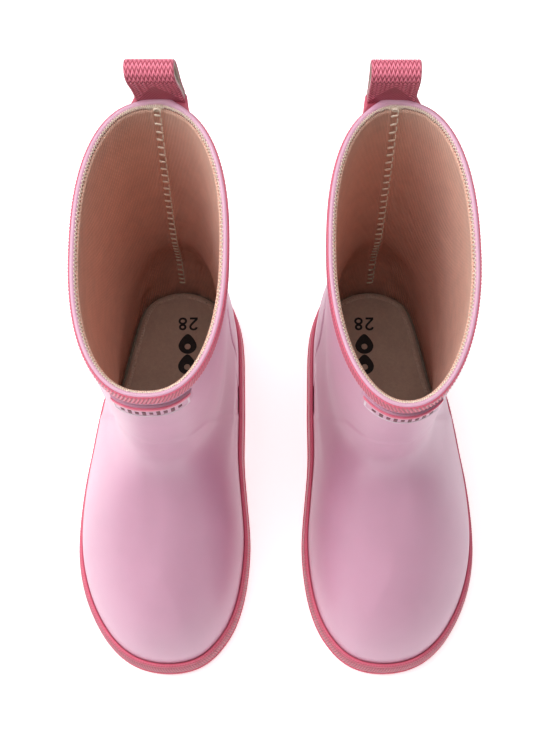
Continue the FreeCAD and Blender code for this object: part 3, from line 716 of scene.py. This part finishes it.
    # ---- stitched back seam ------------------------------------------------------------------------------
    T1 = T_RUBBER + 0.05 + T_LINING
    rng = np.random.default_rng(7 if side == "right" else 8)
    rungs, zz = [], 24.0
    while zz < 200.0:
        w0, w1 = -1.55 + rng.uniform(-0.15, 0.15), 1.35 + rng.uniform(-0.15, 0.15)
        q = np.linspace(0, 1, 9)
        p = seam_p + w0 + (w1 - w0) * q
        z = zz + 0.5 * np.sin(q * math.pi) + rng.uniform(-0.2, 0.2) + (q - 0.5) * 0.7
        Fb = edge_at(side, p, z) + T1 + 0.12 + 0.55 * np.sin(q * math.pi) ** 0.5
        rungs.append(world(side, back_bulge(np.stack([p, Fb, z], -1))))
        rungs.append(rungs[-1] + np.array([0, 0, 0.00055]))
        # a lock stitch up the side between two rungs
        zq = np.linspace(zz + 0.8, zz + 4.4, 7)
        sgn = 1.0 if side == "right" else -1.0
        pq = np.full(7, seam_p - sgn * 1.35)
        Fq_ = edge_at(side, pq, zq) + T1 + 0.05 + 0.35 * np.sin(np.linspace(0, 1, 7) * math.pi) ** 0.5
        rungs.append(world(side, back_bulge(np.stack([pq, Fq_, zq], -1))))
        zz += 5.6
    # the knot at the top
    a_ = np.linspace(0, 5 * math.pi, 46)
    kn = np.stack([seam_p + 1.15 * np.cos(a_), edge_at(side, seam_p, 201.5) + T1 - 0.35 + 0.5 * np.sin(a_ * 1.3) ** 2 + 0 * a_,
                   201.2 + 0.75 * np.sin(a_)], -1)
    rungs.append(world(side, back_bulge(kn)))
    seam = capped_tubes(N("back_seam_stitches"), rungs, 0.34 * MM, 6)
    dress(seam, m_thread)
    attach(seam, body)
    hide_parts(N("lining_seam"))

    # ---- overlocked raw edge round the rim -----------------------------------------------------------------
    per = 224
    K = per * 8
    ph = np.arange(K) / 8.0
    saw = np.abs((ph % 1.0) * 2 - 1)                       # 1 at the outer turn, 0 at the inner
    thr = PI2 * np.arange(K) / K
    jit = rng.normal(0, 1, per + 1)
    jit[-1] = jit[0]
    j = np.interp(ph, np.arange(per + 1), jit)
    R0 = surf(side, thr, 202.0, 0.0)[0]
    near = np.exp(-((R0[:, 0] - seam_p) / 2.6) ** 2) * (R0[:, 1] < -60)
    amp = 1.0 + 0.18 * j + 0.9 * near
    t = 1.90 + (1 - saw) * (0.85 * amp)
    z = 203.05 - (1 - saw) ** 1.3 * (1.25 * amp) + 0.10 * j + 0.3 * near * saw
    PP = back_bulge(surf(side, thr, z, t)[0])
    lock = tubes(N("rim_overlock_thread"), [world(side, PP)], 0.22 * MM, 6, closed=True)
    dress(lock, m_thread)
    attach(lock, body)
    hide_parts(N("rim_overlock"))

    # ---- ribbed top binding ------------------------------------------------------------------------------------
    nb = 1680
    tb = PI2 * np.arange(nb) / nb
    vb = np.linspace(0, 1, 15)
    zb = Z_RIM - BIND_H + vb * BIND_H
    Pb, Nb = surf(side, tb[None, :], zb[:, None], 0.0)
    ringlen = np.concatenate([[0], np.cumsum(np.linalg.norm(np.diff(Pb[7], axis=0), axis=1))])
    total = ringlen[-1] + np.linalg.norm(Pb[7][0] - Pb[7][-1])
    nrib = round(total / 1.5)
    ph = ringlen / total * nrib
    lean = (1.35 if side == "right" else 1.35)
    wv = 0.5 + 0.5 * np.cos(PI2 * (ph[None, :] + lean * vb[:, None]))
    wv = wv ** 0.8
    fade = sstep(vb / 0.10) * sstep((1 - vb) / 0.12)
    h = 0.30 + fade[:, None] * (0.40 * wv - 0.05)
    h = h * (0.45 + 0.55 * sstep(np.minimum(vb, 1 - vb) / 0.08))[:, None]
    outer = Pb + Nb * (h - 0.0)[..., None]

    def cover(P, f_out):
        P = P.copy()
        w = sstep((11.8 - np.abs(P[..., 0] - loop_p)) / 2.0) * (P[..., 1] < -60)
        F2 = P[..., 1] + (f_out - P[..., 1]) * w
        P[..., 2] += RIM_SLOPE * (F2 - P[..., 1]) - 4.0 * w * sstep((P[..., 2] - 196) / 7)
        P[..., 1] = F2
        return P
    outer = cover(outer, neck - AN - 0.35 - h)
    innr = Pb[[-1, 0]] - Nb[[-1, 0]] * 0.6
    rows = np.concatenate([outer, innr])
    # colour factor from the rib wave: painted shade in the rib valleys and painted highlight on the crests; 0.8 where
    # the ribs fade out at the edges, 0 on the two inner rows
    painted_relief_shade = np.concatenate([np.broadcast_to(wv * fade[:, None] + (1 - fade[:, None]) * 0.8, wv.shape), np.zeros((2, nb))])
    uvv = np.zeros(rows.shape[:2] + (2,))
    uvv[..., 0] = (ringlen * MM)[None, :]
    bind = loop_sheet(N("top_binding_ribbed"), world(side, rows), uv=uvv, closed=True, attr=painted_relief_shade)
    dress(bind, m_bind)
    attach(bind, body)
    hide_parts(N("top_binding"))

    # ---- foxing band ---------------------------------------------------------------------------------------------
    nrib = 368
    nf = nrib * 8
    qf, nfx = outline(nf)
    phf = np.arange(nf) / 8.0
    sta = qf[:, 0]
    prof = [(2.80, 5.1, 0), (1.0, 5.1, 0), (0.55, 5.35, 0), (0.50, 6.0, 0.6), (0.55, 7.2, 1), (0.66, 8.4, 1), (0.78, 9.6, 1), (0.92, 10.8, 1),
            (1.08, 11.8, 1), (1.22, 12.6, 0.8), (1.38, 13.15, 0), (1.22, 13.5, 0), (1.12, 13.9, 0), (1.15, 14.4, 0.3), (1.35, 14.8, 0.4),
            (1.75, 15.02, 0.3), (2.2, 15.0, 0), (2.6, 14.75, 0), (2.95, 14.2, 0), (2.95, 9.0, 0)]
    toe = sstep((sta - 20) / 45)
    toe_out = 0.28 * toe
    rows, painted_rib_shade = [], []
    for t, z, a in prof:
        wv = 0.5 + 0.5 * np.cos(PI2 * (phf + 0.16 * (z - 9)))
        tt = t - toe_out * (1.0 if 5.2 < z < 13 else 0.3) * (t < 2) - a * (0.12 + 0.44 * (0.45 + 0.55 * toe)) * (wv - 0.35)
        q = qf + nfx * tt[:, None]
        rows.append(np.stack([q[:, 1], q[:, 0], np.full(nf, z)], -1))
        # colour factor: darker in the rib valleys as painted shade, 0.35 on the two groove rows under the lip as
        # painted shade, 0.85 on the other smooth rows
        painted_rib_shade.append((0.72 - 0.72 * a * (1 - wv) * (0.55 + 0.45 * toe)) if a else np.full(nf, 0.35 if abs(z - 13.15) < 0.1 or abs(z - 13.5) < 0.1 else 0.85))
    rows = np.array(rows)
    fox = loop_sheet(N("foxing_band_rubber"), world(side, rows), closed=True, attr=np.array(painted_rib_shade))
    dress(fox, m_bind)
    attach(fox, body)
    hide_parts(N("foxing_band"), N("toe_guard"))

    # ---- insole: cover with rounded edge, stitched trim, print -----------------------------------------------------------
    ib = side + "_insole"
    ni = 480

    def spine(P):
        f = np.clip(P[:, 0], -60.0, 55.0)
        return np.stack([f, np.interp(f, [-60, 0, 55], [47.6, 50.5, 53.2])], 1)

    def bed(t_edge, z_edge, prof_in, nin=22):
        """closed slab: edge profile rows, then rows that shrink to the middle line"""
        rows = []
        E = outline(ni, t_edge)[0]
        C = spine(E)
        for t, z in prof_in:
            q = outline(ni, t)[0]
            rows.append(np.stack([q[:, 1], q[:, 0], np.full(ni, z)], -1))
        qlast = outline(ni, prof_in[-1][0])[0]
        for w in np.linspace(1, 0, nin)[1:]:
            q = C + (qlast - C) * w
            rows.append(np.stack([q[:, 1], q[:, 0], np.full(ni, prof_in[-1][1] + z_edge(q, w))], -1))
        return np.array(rows)

    flat = lambda q, w: 0.0
    topr = bed(INSOLE_IN, flat, [(INSOLE_IN + 0.1, 14.05), (INSOLE_IN + 0.1, 14.55), (INSOLE_IN + 0.25, 14.85), (INSOLE_IN + 0.6, 15.0)])
    botr = bed(INSOLE_IN, flat, [(INSOLE_IN + 0.1, 14.03)], 6)[::-1]
    rows = np.concatenate([botr, topr])
    uvv = rows[..., [0, 1]] * MM
    cover_i = make_mesh(N("insole_cover_textile"), world(side, rows), grid_faces(*rows.shape[:2]), uv=uvv)
    fix_normals(cover_i)
    dress(cover_i, m_insole)
    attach(cover_i, ib)
    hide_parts(N("insole_cover"))

    rows = []
    for t, z in [(8.5, 10.3), (8.4, 10.8), (8.35, 12.2), (8.4, 13.6), (8.6, 14.0)]:
        q = outline(ni, t)[0]
        rows.append(np.stack([q[:, 1], q[:, 0], np.full(ni, z)], -1))
    rows = np.array(rows)
    E = outline(ni, 8.6)[0]
    C = spine(E)
    cap = lambda z: np.array([np.stack([(C + (E - C) * w)[:, 1], (C + (E - C) * w)[:, 0], np.full(ni, z)], -1) for w in (0.6, 0.25, 0.0)])
    rows = np.concatenate([cap(10.2)[::-1], rows, cap(14.0)])
    foam = make_mesh(N("insole_foam_block"), world(side, rows), grid_faces(*rows.shape[:2]))
    fix_normals(foam)
    dress(foam, m_foam)
    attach(foam, ib)
    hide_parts(N("insole_foam"))

    ns = 3200
    q, nrm = outline(ns, 0.0)
    dd = np.concatenate([[0], np.cumsum(np.linalg.norm(np.diff(outline(ns, 9.6)[0], axis=0), axis=1))])
    tot = dd[-1] + 0.15
    rib = 0.5 + 0.5 * np.cos(PI2 * dd / tot * round(tot / 1.45))
    rows = []
    for t, z in [(9.7, 14.99), (9.85, 15.12), (10.25, 15.26), (10.7, 15.3), (11.1, 15.24), (11.35, 15.1), (11.45, 14.99)]:
        zz = 14.99 + (z - 14.99) * (0.35 + 0.95 * rib)
        qq = q + nrm * t
        rows.append(np.stack([qq[:, 1], qq[:, 0], np.minimum(zz, 15.4)], -1))
    rows = np.array(rows)
    edge = loop_sheet(N("insole_edge_stitching"), world(side, rows), closed=True)
    dress(edge, m_trimtex)
    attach(edge, ib)
    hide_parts(N("insole_edge"))

    # size number and a plain row of drops, flat print
    def stroke(pts, w, closed=False):
        pts = np.array(pts, float)
        T = (np.roll(pts, -1, 0) - np.roll(pts, 1, 0)) if closed else np.gradient(pts, axis=0)
        T /= np.linalg.norm(T, axis=1)[:, None] + 1e-9
        Nn = np.stack([-T[:, 1], T[:, 0]], 1)
        return pts + Nn * w / 2, pts - Nn * w / 2

    V, Fq, base = [], [], 0

    def slab(A, B, closed, z0=15.02, z1=15.16):
        """A, B: two edges of a flat stroke, (across, along) in the print's own axes"""
        nonlocal base
        n = len(A)
        rows = np.stack([np.c_[A, np.full(n, z0)], np.c_[A, np.full(n, z1)], np.c_[B, np.full(n, z1)], np.c_[B, np.full(n, z0)]])
        V.append(rows.reshape(-1, 3))
        f = grid_faces(4, n, wrap_m=True, wrap_n=closed, base=base)
        Fq.append(f)
        if not closed:
            for c in (0, n - 1):
                Fq.append(np.array([[base + c, base + n + c, base + 2 * n + c, base + 3 * n + c]]))
        base += 4 * n

    # the print reads from the toe end, so 'down' on the print is towards the heel; across grows to the reader's right
    def ell(cx, cy, rx, ry, a0, a1, n):
        a = np.radians(np.linspace(a0, a1, n))
        return np.stack([cx + rx * np.cos(a), cy + ry * np.sin(a)], 1)
    W = 1.05
    # figure 2 in a 4.4 x 7 box with its foot at y 0
    two = np.vstack([ell(2.2, 5.05, 1.62, 1.50, 170, -30, 22), [(3.2, 3.7), (2.2, 2.55), (1.1, 1.35), (0.62, 0.75)]])
    tt = np.concatenate([[0], np.cumsum(np.linalg.norm(np.diff(two, axis=0), axis=1))])
    two = np.stack([np.interp(np.linspace(0, tt[-1], 40), tt, two[:, k]) for k in (0, 1)], 1)
    glyphs = [(0.0, [("o", two), ("o", np.array([(0.2, 0.52), (1.0, 0.52), (2.5, 0.52), (4.1, 0.52)]))]),
              (5.6, [("c", ell(2.1, 5.25, 1.35, 1.22, 0, 352, 40)), ("c", ell(2.1, 1.98, 1.62, 1.45, 0, 352, 40))])]
    for x0, items in glyphs:
        for kind, pts in items:
            pts = pts + np.array([x0, 0.0])
            A, B = stroke(pts, W, kind == "c")
            slab(A, B, kind == "c")
    flat28 = np.vstack(V)
    # across right = towards +X; heel is up in the picture, so the figures are upside down from the toe side
    cx = 5.0
    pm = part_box(N("insole_print"))
    x_mid = (pm[0].x + pm[1].x) / 2 / MM
    y_heel = pm[1].y / MM
    X = x_mid + (1 if side == "right" else 1) * (-(flat28[:, 0] - cx)) * 1.0
    Y = y_heel - 7.0 + (7.0 - flat28[:, 1])
    Pn = np.stack([X, Y, flat28[:, 2]], 1) * MM
    num = fix_normals(make_mesh(N("insole_size_number"), Pn, np.vstack(Fq), smooth=False))
    dress(num, m_ink)
    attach(num, ib)
    V2, T2, b2 = [], [], 0
    y = y_heel - 9.6
    while y > pm[0].y / MM + 5.0:
        a = np.linspace(0, PI2, 49)[:-1]
        rr = 5.3
        # a plain drop: round end and a point, the point towards the heel, and its small round hole
        px = rr * np.cos(a) * (1 - 0.42 * np.clip(np.sin(a), 0, 1) ** 1.3)
        py = rr * np.sin(a) * np.where(np.sin(a) > 0, 1.35, 1.0)
        outer = np.stack([px, py], 1) * 0.86
        hole = np.stack([1.55 * np.cos(a), 1.55 * np.sin(a) - 0.6], 1)
        n = len(a)
        for z in (15.02, 15.16):
            V2.append(np.c_[x_mid + outer[:, 0], y - 5.6 + outer[:, 1], np.full(n, z)])
            V2.append(np.c_[x_mid + hole[:, 0], y - 5.6 + hole[:, 1], np.full(n, z)])
        jj = np.arange(n)
        kx = (jj + 1) % n
        o0, h0, o1, h1 = b2, b2 + n, b2 + 2 * n, b2 + 3 * n
        T2 += [np.stack([o1 + jj, o1 + kx, h1 + kx, h1 + jj], 1), np.stack([o0 + kx, o0 + jj, h0 + jj, h0 + kx], 1),
               np.stack([o0 + jj, o0 + kx, o1 + kx, o1 + jj], 1), np.stack([h0 + kx, h0 + jj, h1 + jj, h1 + kx], 1)]
        b2 += 4 * n
        y -= 11.0
    drops = fix_normals(make_mesh(N("insole_drop_motif"), np.vstack(V2) * MM, np.vstack(T2), smooth=False))
    dress(drops, m_ink)
    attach(drops, ib)
    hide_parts(N("insole_print"))

    # ---- pull loop ------------------------------------------------------------------------------------------------------------
    lo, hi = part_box(N("pull_loop"))
    z_top = hi.z / MM
    Z_P, R_TOP, T_WEB = 207.6, 4.6, 1.5
    cf = F0 - hi.y / MM + R_TOP + 2.0             # station of the bow's centre
    cz = z_top - R_TOP - 2.0

    def path(d, n=9):
        """(station, height) of the webbing d outside the loop's middle gap, ends under the binding included"""
        r = R_TOP - AN + d
        w = np.linspace(0, 1, n, endpoint=False)
        e = w * w * (3 - 2 * w)
        z = Z_P + (cz - Z_P) * w
        up = np.stack([neck + d + (cf + r - neck - d) * e, z], 1)
        dn = np.stack([neck - d + (cf - r - neck + d) * e, z], 1)[::-1]
        a = np.linspace(0, math.pi, 17)
        bow = np.stack([cf + r * np.cos(a), cz + r * np.sin(a)], 1)
        head = np.array([[neck + d, z] for z in (194.0, 198.0, 202.0, 205.0)])
        tail = np.array([[neck - d, z] for z in (205.0, 202.0, 198.0, 194.0)])
        P = np.vstack([head, up, bow, dn, tail])
        s = np.concatenate([[0], np.cumsum(np.linalg.norm(np.diff(P, axis=0), axis=1))])
        q = np.linspace(0, s[-1], 330)
        P = np.stack([np.interp(q, s, P[:, k]) for k in (0, 1)], 1)
        for _ in range(14):
            P[1:-1] = (P[:-2] + 2 * P[1:-1] + P[2:]) / 4
        T = np.gradient(P, axis=0)
        T /= np.linalg.norm(T, axis=1)[:, None]
        Nn = np.stack([T[:, 1], -T[:, 0]], 1)      # outward: away from the gap
        return P, Nn, q

    leanx = -3.4 if side == "right" else 0.5       # the loop leans a little to one side

    def lean(P, z):
        return P + leanx * ((z - 203) / 24.0).clip(0, 1)

    P, Nn, q = path(AN - T_WEB / 2)
    nw = 150
    xs = np.linspace(-1, 1, nw)
    half = loop_half - 0.1
    X = xs * half
    Xg, Qg = np.meshgrid(X, q, indexing="ij")
    # diamond weave: columns 1.55 mm apart, stitches crossing over every 1.3 mm, staggered from column to column
    col = Xg / 1.62 + 0.25
    tri = np.abs((col % 1.0) * 2 - 1)
    up_dn = np.where(np.floor(col) % 2 < 1, 1.0, -1.0)
    zq = P[:, 1]
    front_s = q < q[-1] * 0.5
    bow = sstep((zq - 218.0) / 2.0)[None, :]
    pit = 2.7 * bow + 1.75 * (1 - bow)
    A1 = np.abs(np.sin(math.pi * (Qg / 2.7 + 0.75 * tri)))
    A3 = np.abs(np.sin(math.pi * (Qg / 1.75 + up_dn * 0.5 * tri)))
    A1 = (A1 * bow + A3 * (1 - bow)) ** 0.9 * (0.55 + 0.45 * np.sin(math.pi * (col % 1.0)) ** 0.5)
    # low on the front the yarns lie flat inside a chevron
    chev = sstep(((216.5 - zq[None, :]) - 1.55 * np.abs(Xg)) / 1.2 + 0.5) * front_s[None, :]
    A2 = 0.36 + 0.16 * np.cos(PI2 * (np.abs(Xg) * 0.8 + Qg * 0.7))
    A = A1 * (1 - chev) + A2 * chev
    amp = 0.48 * (1 - chev) + 0.06 * chev
    selv = sstep((1 - np.abs(xs)) / 0.05)[:, None]
    thick = T_WEB / 2 - 0.28 + amp * A * selv
    Po = P[None] + Nn[None] * thick[..., None]
    Pi_ = P[None] - Nn[None] * (T_WEB / 2 - 0.1)
    Pi_ = np.broadcast_to(Pi_, Po.shape)
    rows = np.concatenate([Po, Pi_[::-1]])                      # closes round the cross-section
    Xall = np.concatenate([Xg, Xg[::-1]])
    n_q = len(q)
    vx = (-(loop_p) if side == "right" else loop_p) + Xall
    vx = lean(vx, rows[..., 1])
    VV = np.stack([vx, F0 - rows[..., 0], rows[..., 1]], -1) * MM
    # the woven height is also the colour factor: painted shade in the weave's hollows and painted highlight on its
    # crests; the selvedges and the inner face sit at 0.35
    painted_relief_shade = np.concatenate([A * selv + 0.35 * (1 - selv), np.full(Xg.shape, 0.35)])
    m = len(VV)
    faces = grid_faces(m, n_q, wrap_m=True, wrap_n=False)
    web = make_mesh(N("pull_loop_webbing"), VV, faces, attr=painted_relief_shade)
    bm = bmesh.new()
    bm.from_mesh(web.data)
    bmesh.ops.holes_fill(bm, edges=[ed for ed in bm.edges if ed.is_boundary], sides=0)
    bmesh.ops.recalc_face_normals(bm, faces=bm.faces)
    bm.to_mesh(web.data)
    bm.free()
    dress(web, m_web)
    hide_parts(N("pull_loop"), N("loop_anchor"))
    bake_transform(web)

    P, Nn, q = path(0.55)
    Pa, Pb_ = P + Nn * 0.44, P - Nn * 0.44
    xs = np.linspace(-(loop_half - 0.25), loop_half - 0.25, 24)
    rows = np.concatenate([np.broadcast_to(Pa, (24,) + Pa.shape), np.broadcast_to(Pb_, (24,) + Pa.shape)])
    Xall = np.concatenate([np.broadcast_to(xs[:, None], (24, n_q)), np.broadcast_to(xs[::-1][:, None], (24, n_q))])
    vx = lean((-(loop_p) if side == "right" else loop_p) + Xall, rows[..., 1])
    VV = np.stack([vx, F0 - rows[..., 0], rows[..., 1]], -1) * MM
    uvv = np.stack([Xall * MM, np.broadcast_to(q[None, :] * MM, Xall.shape)], -1)
    tape = make_mesh(N("pull_loop_backing_tape"), VV, grid_faces(48, n_q, wrap_m=True, wrap_n=False), uv=uvv)
    bm = bmesh.new()
    bm.from_mesh(tape.data)
    bmesh.ops.holes_fill(bm, edges=[ed for ed in bm.edges if ed.is_boundary], sides=0)
    bmesh.ops.recalc_face_normals(bm, faces=bm.faces)
    bm.to_mesh(tape.data)
    bm.free()
    dress(tape, m_tape)
    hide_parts(N("pull_loop_tape"))
    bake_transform(tape)

    # ---- label on the leg's front ------------------------------------------------------------------------------------------------
    lo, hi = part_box(N("front_label"))
    pl = abs((lo.x + hi.x) / 2) / MM
    hw_l = (hi.x - lo.x) / 2 / MM
    z0, z1 = lo.z / MM, hi.z / MM

    def pad(name, pa, pb, za, zb, t0, t1, mat, slot, rad=0.4, n=40, m=14, reps=None):
        """a soft-edged raised slab that follows the leg's front"""
        ps = np.linspace(pa, pb, n)
        zz = np.linspace(za, zb, m)
        Pg, Zg = np.meshgrid(ps, zz, indexing="ij")
        dx = np.minimum(Pg - pa, pb - Pg)
        dz = np.minimum(Zg - za, zb - Zg)
        ed = np.clip(np.minimum(dx, dz) / rad, 0, 1)
        t = t0 + (t1 - t0) * (0.35 + 0.65 * np.sqrt(1 - (1 - ed) ** 2))
        Fr = edge_at(side, Pg, Zg, back=False)
        top_ = np.stack([Pg, Fr + t, Zg], -1)
        bot = np.stack([Pg, Fr + t0 - 0.25, Zg], -1)
        VV = np.concatenate([top_.reshape(-1, 3), bot.reshape(-1, 3)])
        f1 = grid_faces(n, m, wrap_n=False)
        f2 = grid_faces(n, m, wrap_n=False, flip=True, base=n * m)
        idx = np.arange(n * m).reshape(n, m)
        ringi = np.concatenate([idx[:, 0], idx[-1, 1:], idx[:-1, -1][::-1], idx[0, 1:-1][::-1]])
        nx = np.roll(ringi, -1)
        f3 = np.stack([ringi, nx, nx + n * m, ringi + n * m], 1)
        return VV, [f1, f2, f3]

    def pads(name, items, mat, slot, *reps):
        VV, FF, base = [], [], 0
        for it in items:
            v, f = pad(name, *it, mat=mat, slot=slot)
            VV.append(v)
            FF += [x + base for x in f]
            base += len(v)
        ob = fix_normals(make_mesh(N(name), world(side, np.vstack(VV)), np.vstack(FF)))
        dress(ob, mat)
        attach(ob, body)
        if reps:
            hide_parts(*[N(r) for r in reps])
        return ob

    pads("front_label_patch", [(pl - hw_l, pl + hw_l, z0, z1, -0.5, 1.15)], m_upper, "upper_rubber", "front_label")
    pads("front_label_top_bar", [(pl - hw_l + 0.3, pl + hw_l - 0.3, z1 - 2.4, z1 - 0.25, 1.05, 1.6)], m_bar, "trim_rubber")
    w = hw_l - 0.9
    pads("front_label_outline", [(pl - w, pl + w, z0 + 0.4, z0 + 1.0, 1.05, 1.45), (pl - w, pl + w, z1 - 3.3, z1 - 2.7, 1.05, 1.45),
                                 (pl - w, pl - w + 0.7, z0 + 1.0, z1 - 3.3, 1.05, 1.45),
                                 (pl + w - 0.7, pl + w, z0 + 1.0, z1 - 3.3, 1.05, 1.45)], m_white, "label_frame", "front_label_frame")
    bars = []
    zc_ = (z0 + 1.0 + z1 - 3.3) / 2
    for k_, hh in enumerate((2.6, 4.6, 3.4, 5.2, 2.8, 5.2, 3.4, 4.6, 2.6)):
        c = pl + (k_ - 4) * 2.75
        bars.append((c - 0.75, c + 0.75, zc_ - hh / 2, zc_ + hh / 2, 1.05, 1.4))
    pads("front_label_bars", bars, m_motif, "print_ink", "front_label_motif")


for s_ in ("right", "left"):
    build(s_)

# carried-over frame parts
for n, o in frame["nodes"].items():
    if o.hide_render:
        continue
    key = n.split("_", 1)[1]
    mt = {"outsole": m_sole, "midsole_filler": m_foam, "lasting_board": m_board}.get(key, m_trim)
    o.data.materials.clear()
    o.data.materials.append(mt.m)
    if key == "outsole":
        bv = o.modifiers.new("soft_edges", "BEVEL")
        bv.width = 0.0004
        bv.segments = 2
        bv.limit_method = "ANGLE"
        bv.angle_limit = math.radians(50)

# =====================================================================================================
# floor, light, camera
# =====================================================================================================
bpy.ops.mesh.primitive_plane_add(size=6.0, location=(0, 0, -0.0002))
floor = bpy.context.object
floor.name = "floor"
fm = bpy.data.materials.new("floor_white")
fm.use_nodes = True
b = fm.node_tree.nodes["Principled BSDF"]
b.inputs["Base Color"].default_value = (0.93, 0.93, 0.93, 1)
b.inputs["Roughness"].default_value = 0.9
b.inputs["Specular IOR Level"].default_value = 0.1
b.inputs["Emission Color"].default_value = (1, 1, 1, 1)
b.inputs["Emission Strength"].default_value = 0.56
floor.data.materials.append(fm)

w = bpy.data.worlds.new("studio")
bpy.context.scene.world = w
w.use_nodes = True
w.node_tree.nodes["Background"].inputs[0].default_value = (1, 1, 1, 1)
w.node_tree.nodes["Background"].inputs[1].default_value = 0.20


def area(name, loc, target, size, power, col=(1, 1, 1)):
    from mathutils import Vector
    L = bpy.data.lights.new(name, "AREA")
    L.shape = "RECTANGLE"
    L.size, L.size_y = size
    L.energy = power
    L.color = col
    ob = bpy.data.objects.new(name, L)
    bpy.context.scene.collection.objects.link(ob)
    ob.location = loc
    ob.rotation_mode = "QUATERNION"
    ob.rotation_quaternion = (Vector(target) - Vector(loc)).to_track_quat("-Z", "Y")
    return ob


area("key_upper_left", (-1.10, 0.20, 1.10), (0.0, 0.0, 0.08), (1.1, 1.3), 11.5)
area("top_soft", (-0.25, 0.15, 1.6), (0, 0, 0), (1.4, 1.4), 20.0)
area("fill_front", (0.2, -1.5, 0.9), (0, 0, 0.1), (1.5, 0.8), 0.3)

cam = bpy.data.cameras.new("camera")
co = bpy.data.objects.new("camera", cam)
bpy.context.scene.collection.objects.link(co)
CAM_E = math.radians(68.87)
CAM_D = 788.7
FT = -56.5
co.location = (0.0, (F0 - (FT + CAM_D * math.cos(CAM_E))) * MM, CAM_D * math.sin(CAM_E) * MM)
co.rotation_euler = (math.pi / 2 - CAM_E, 0, 0)
cam.sensor_width = 36
cam.lens = 1546.0 / 734.0 * 36.0
cam.shift_x = -1.0 / 734.0
cam.clip_start, cam.clip_end = 0.01, 20
bpy.context.scene.camera = co
bpy.context.scene.view_settings.view_transform = "Standard"
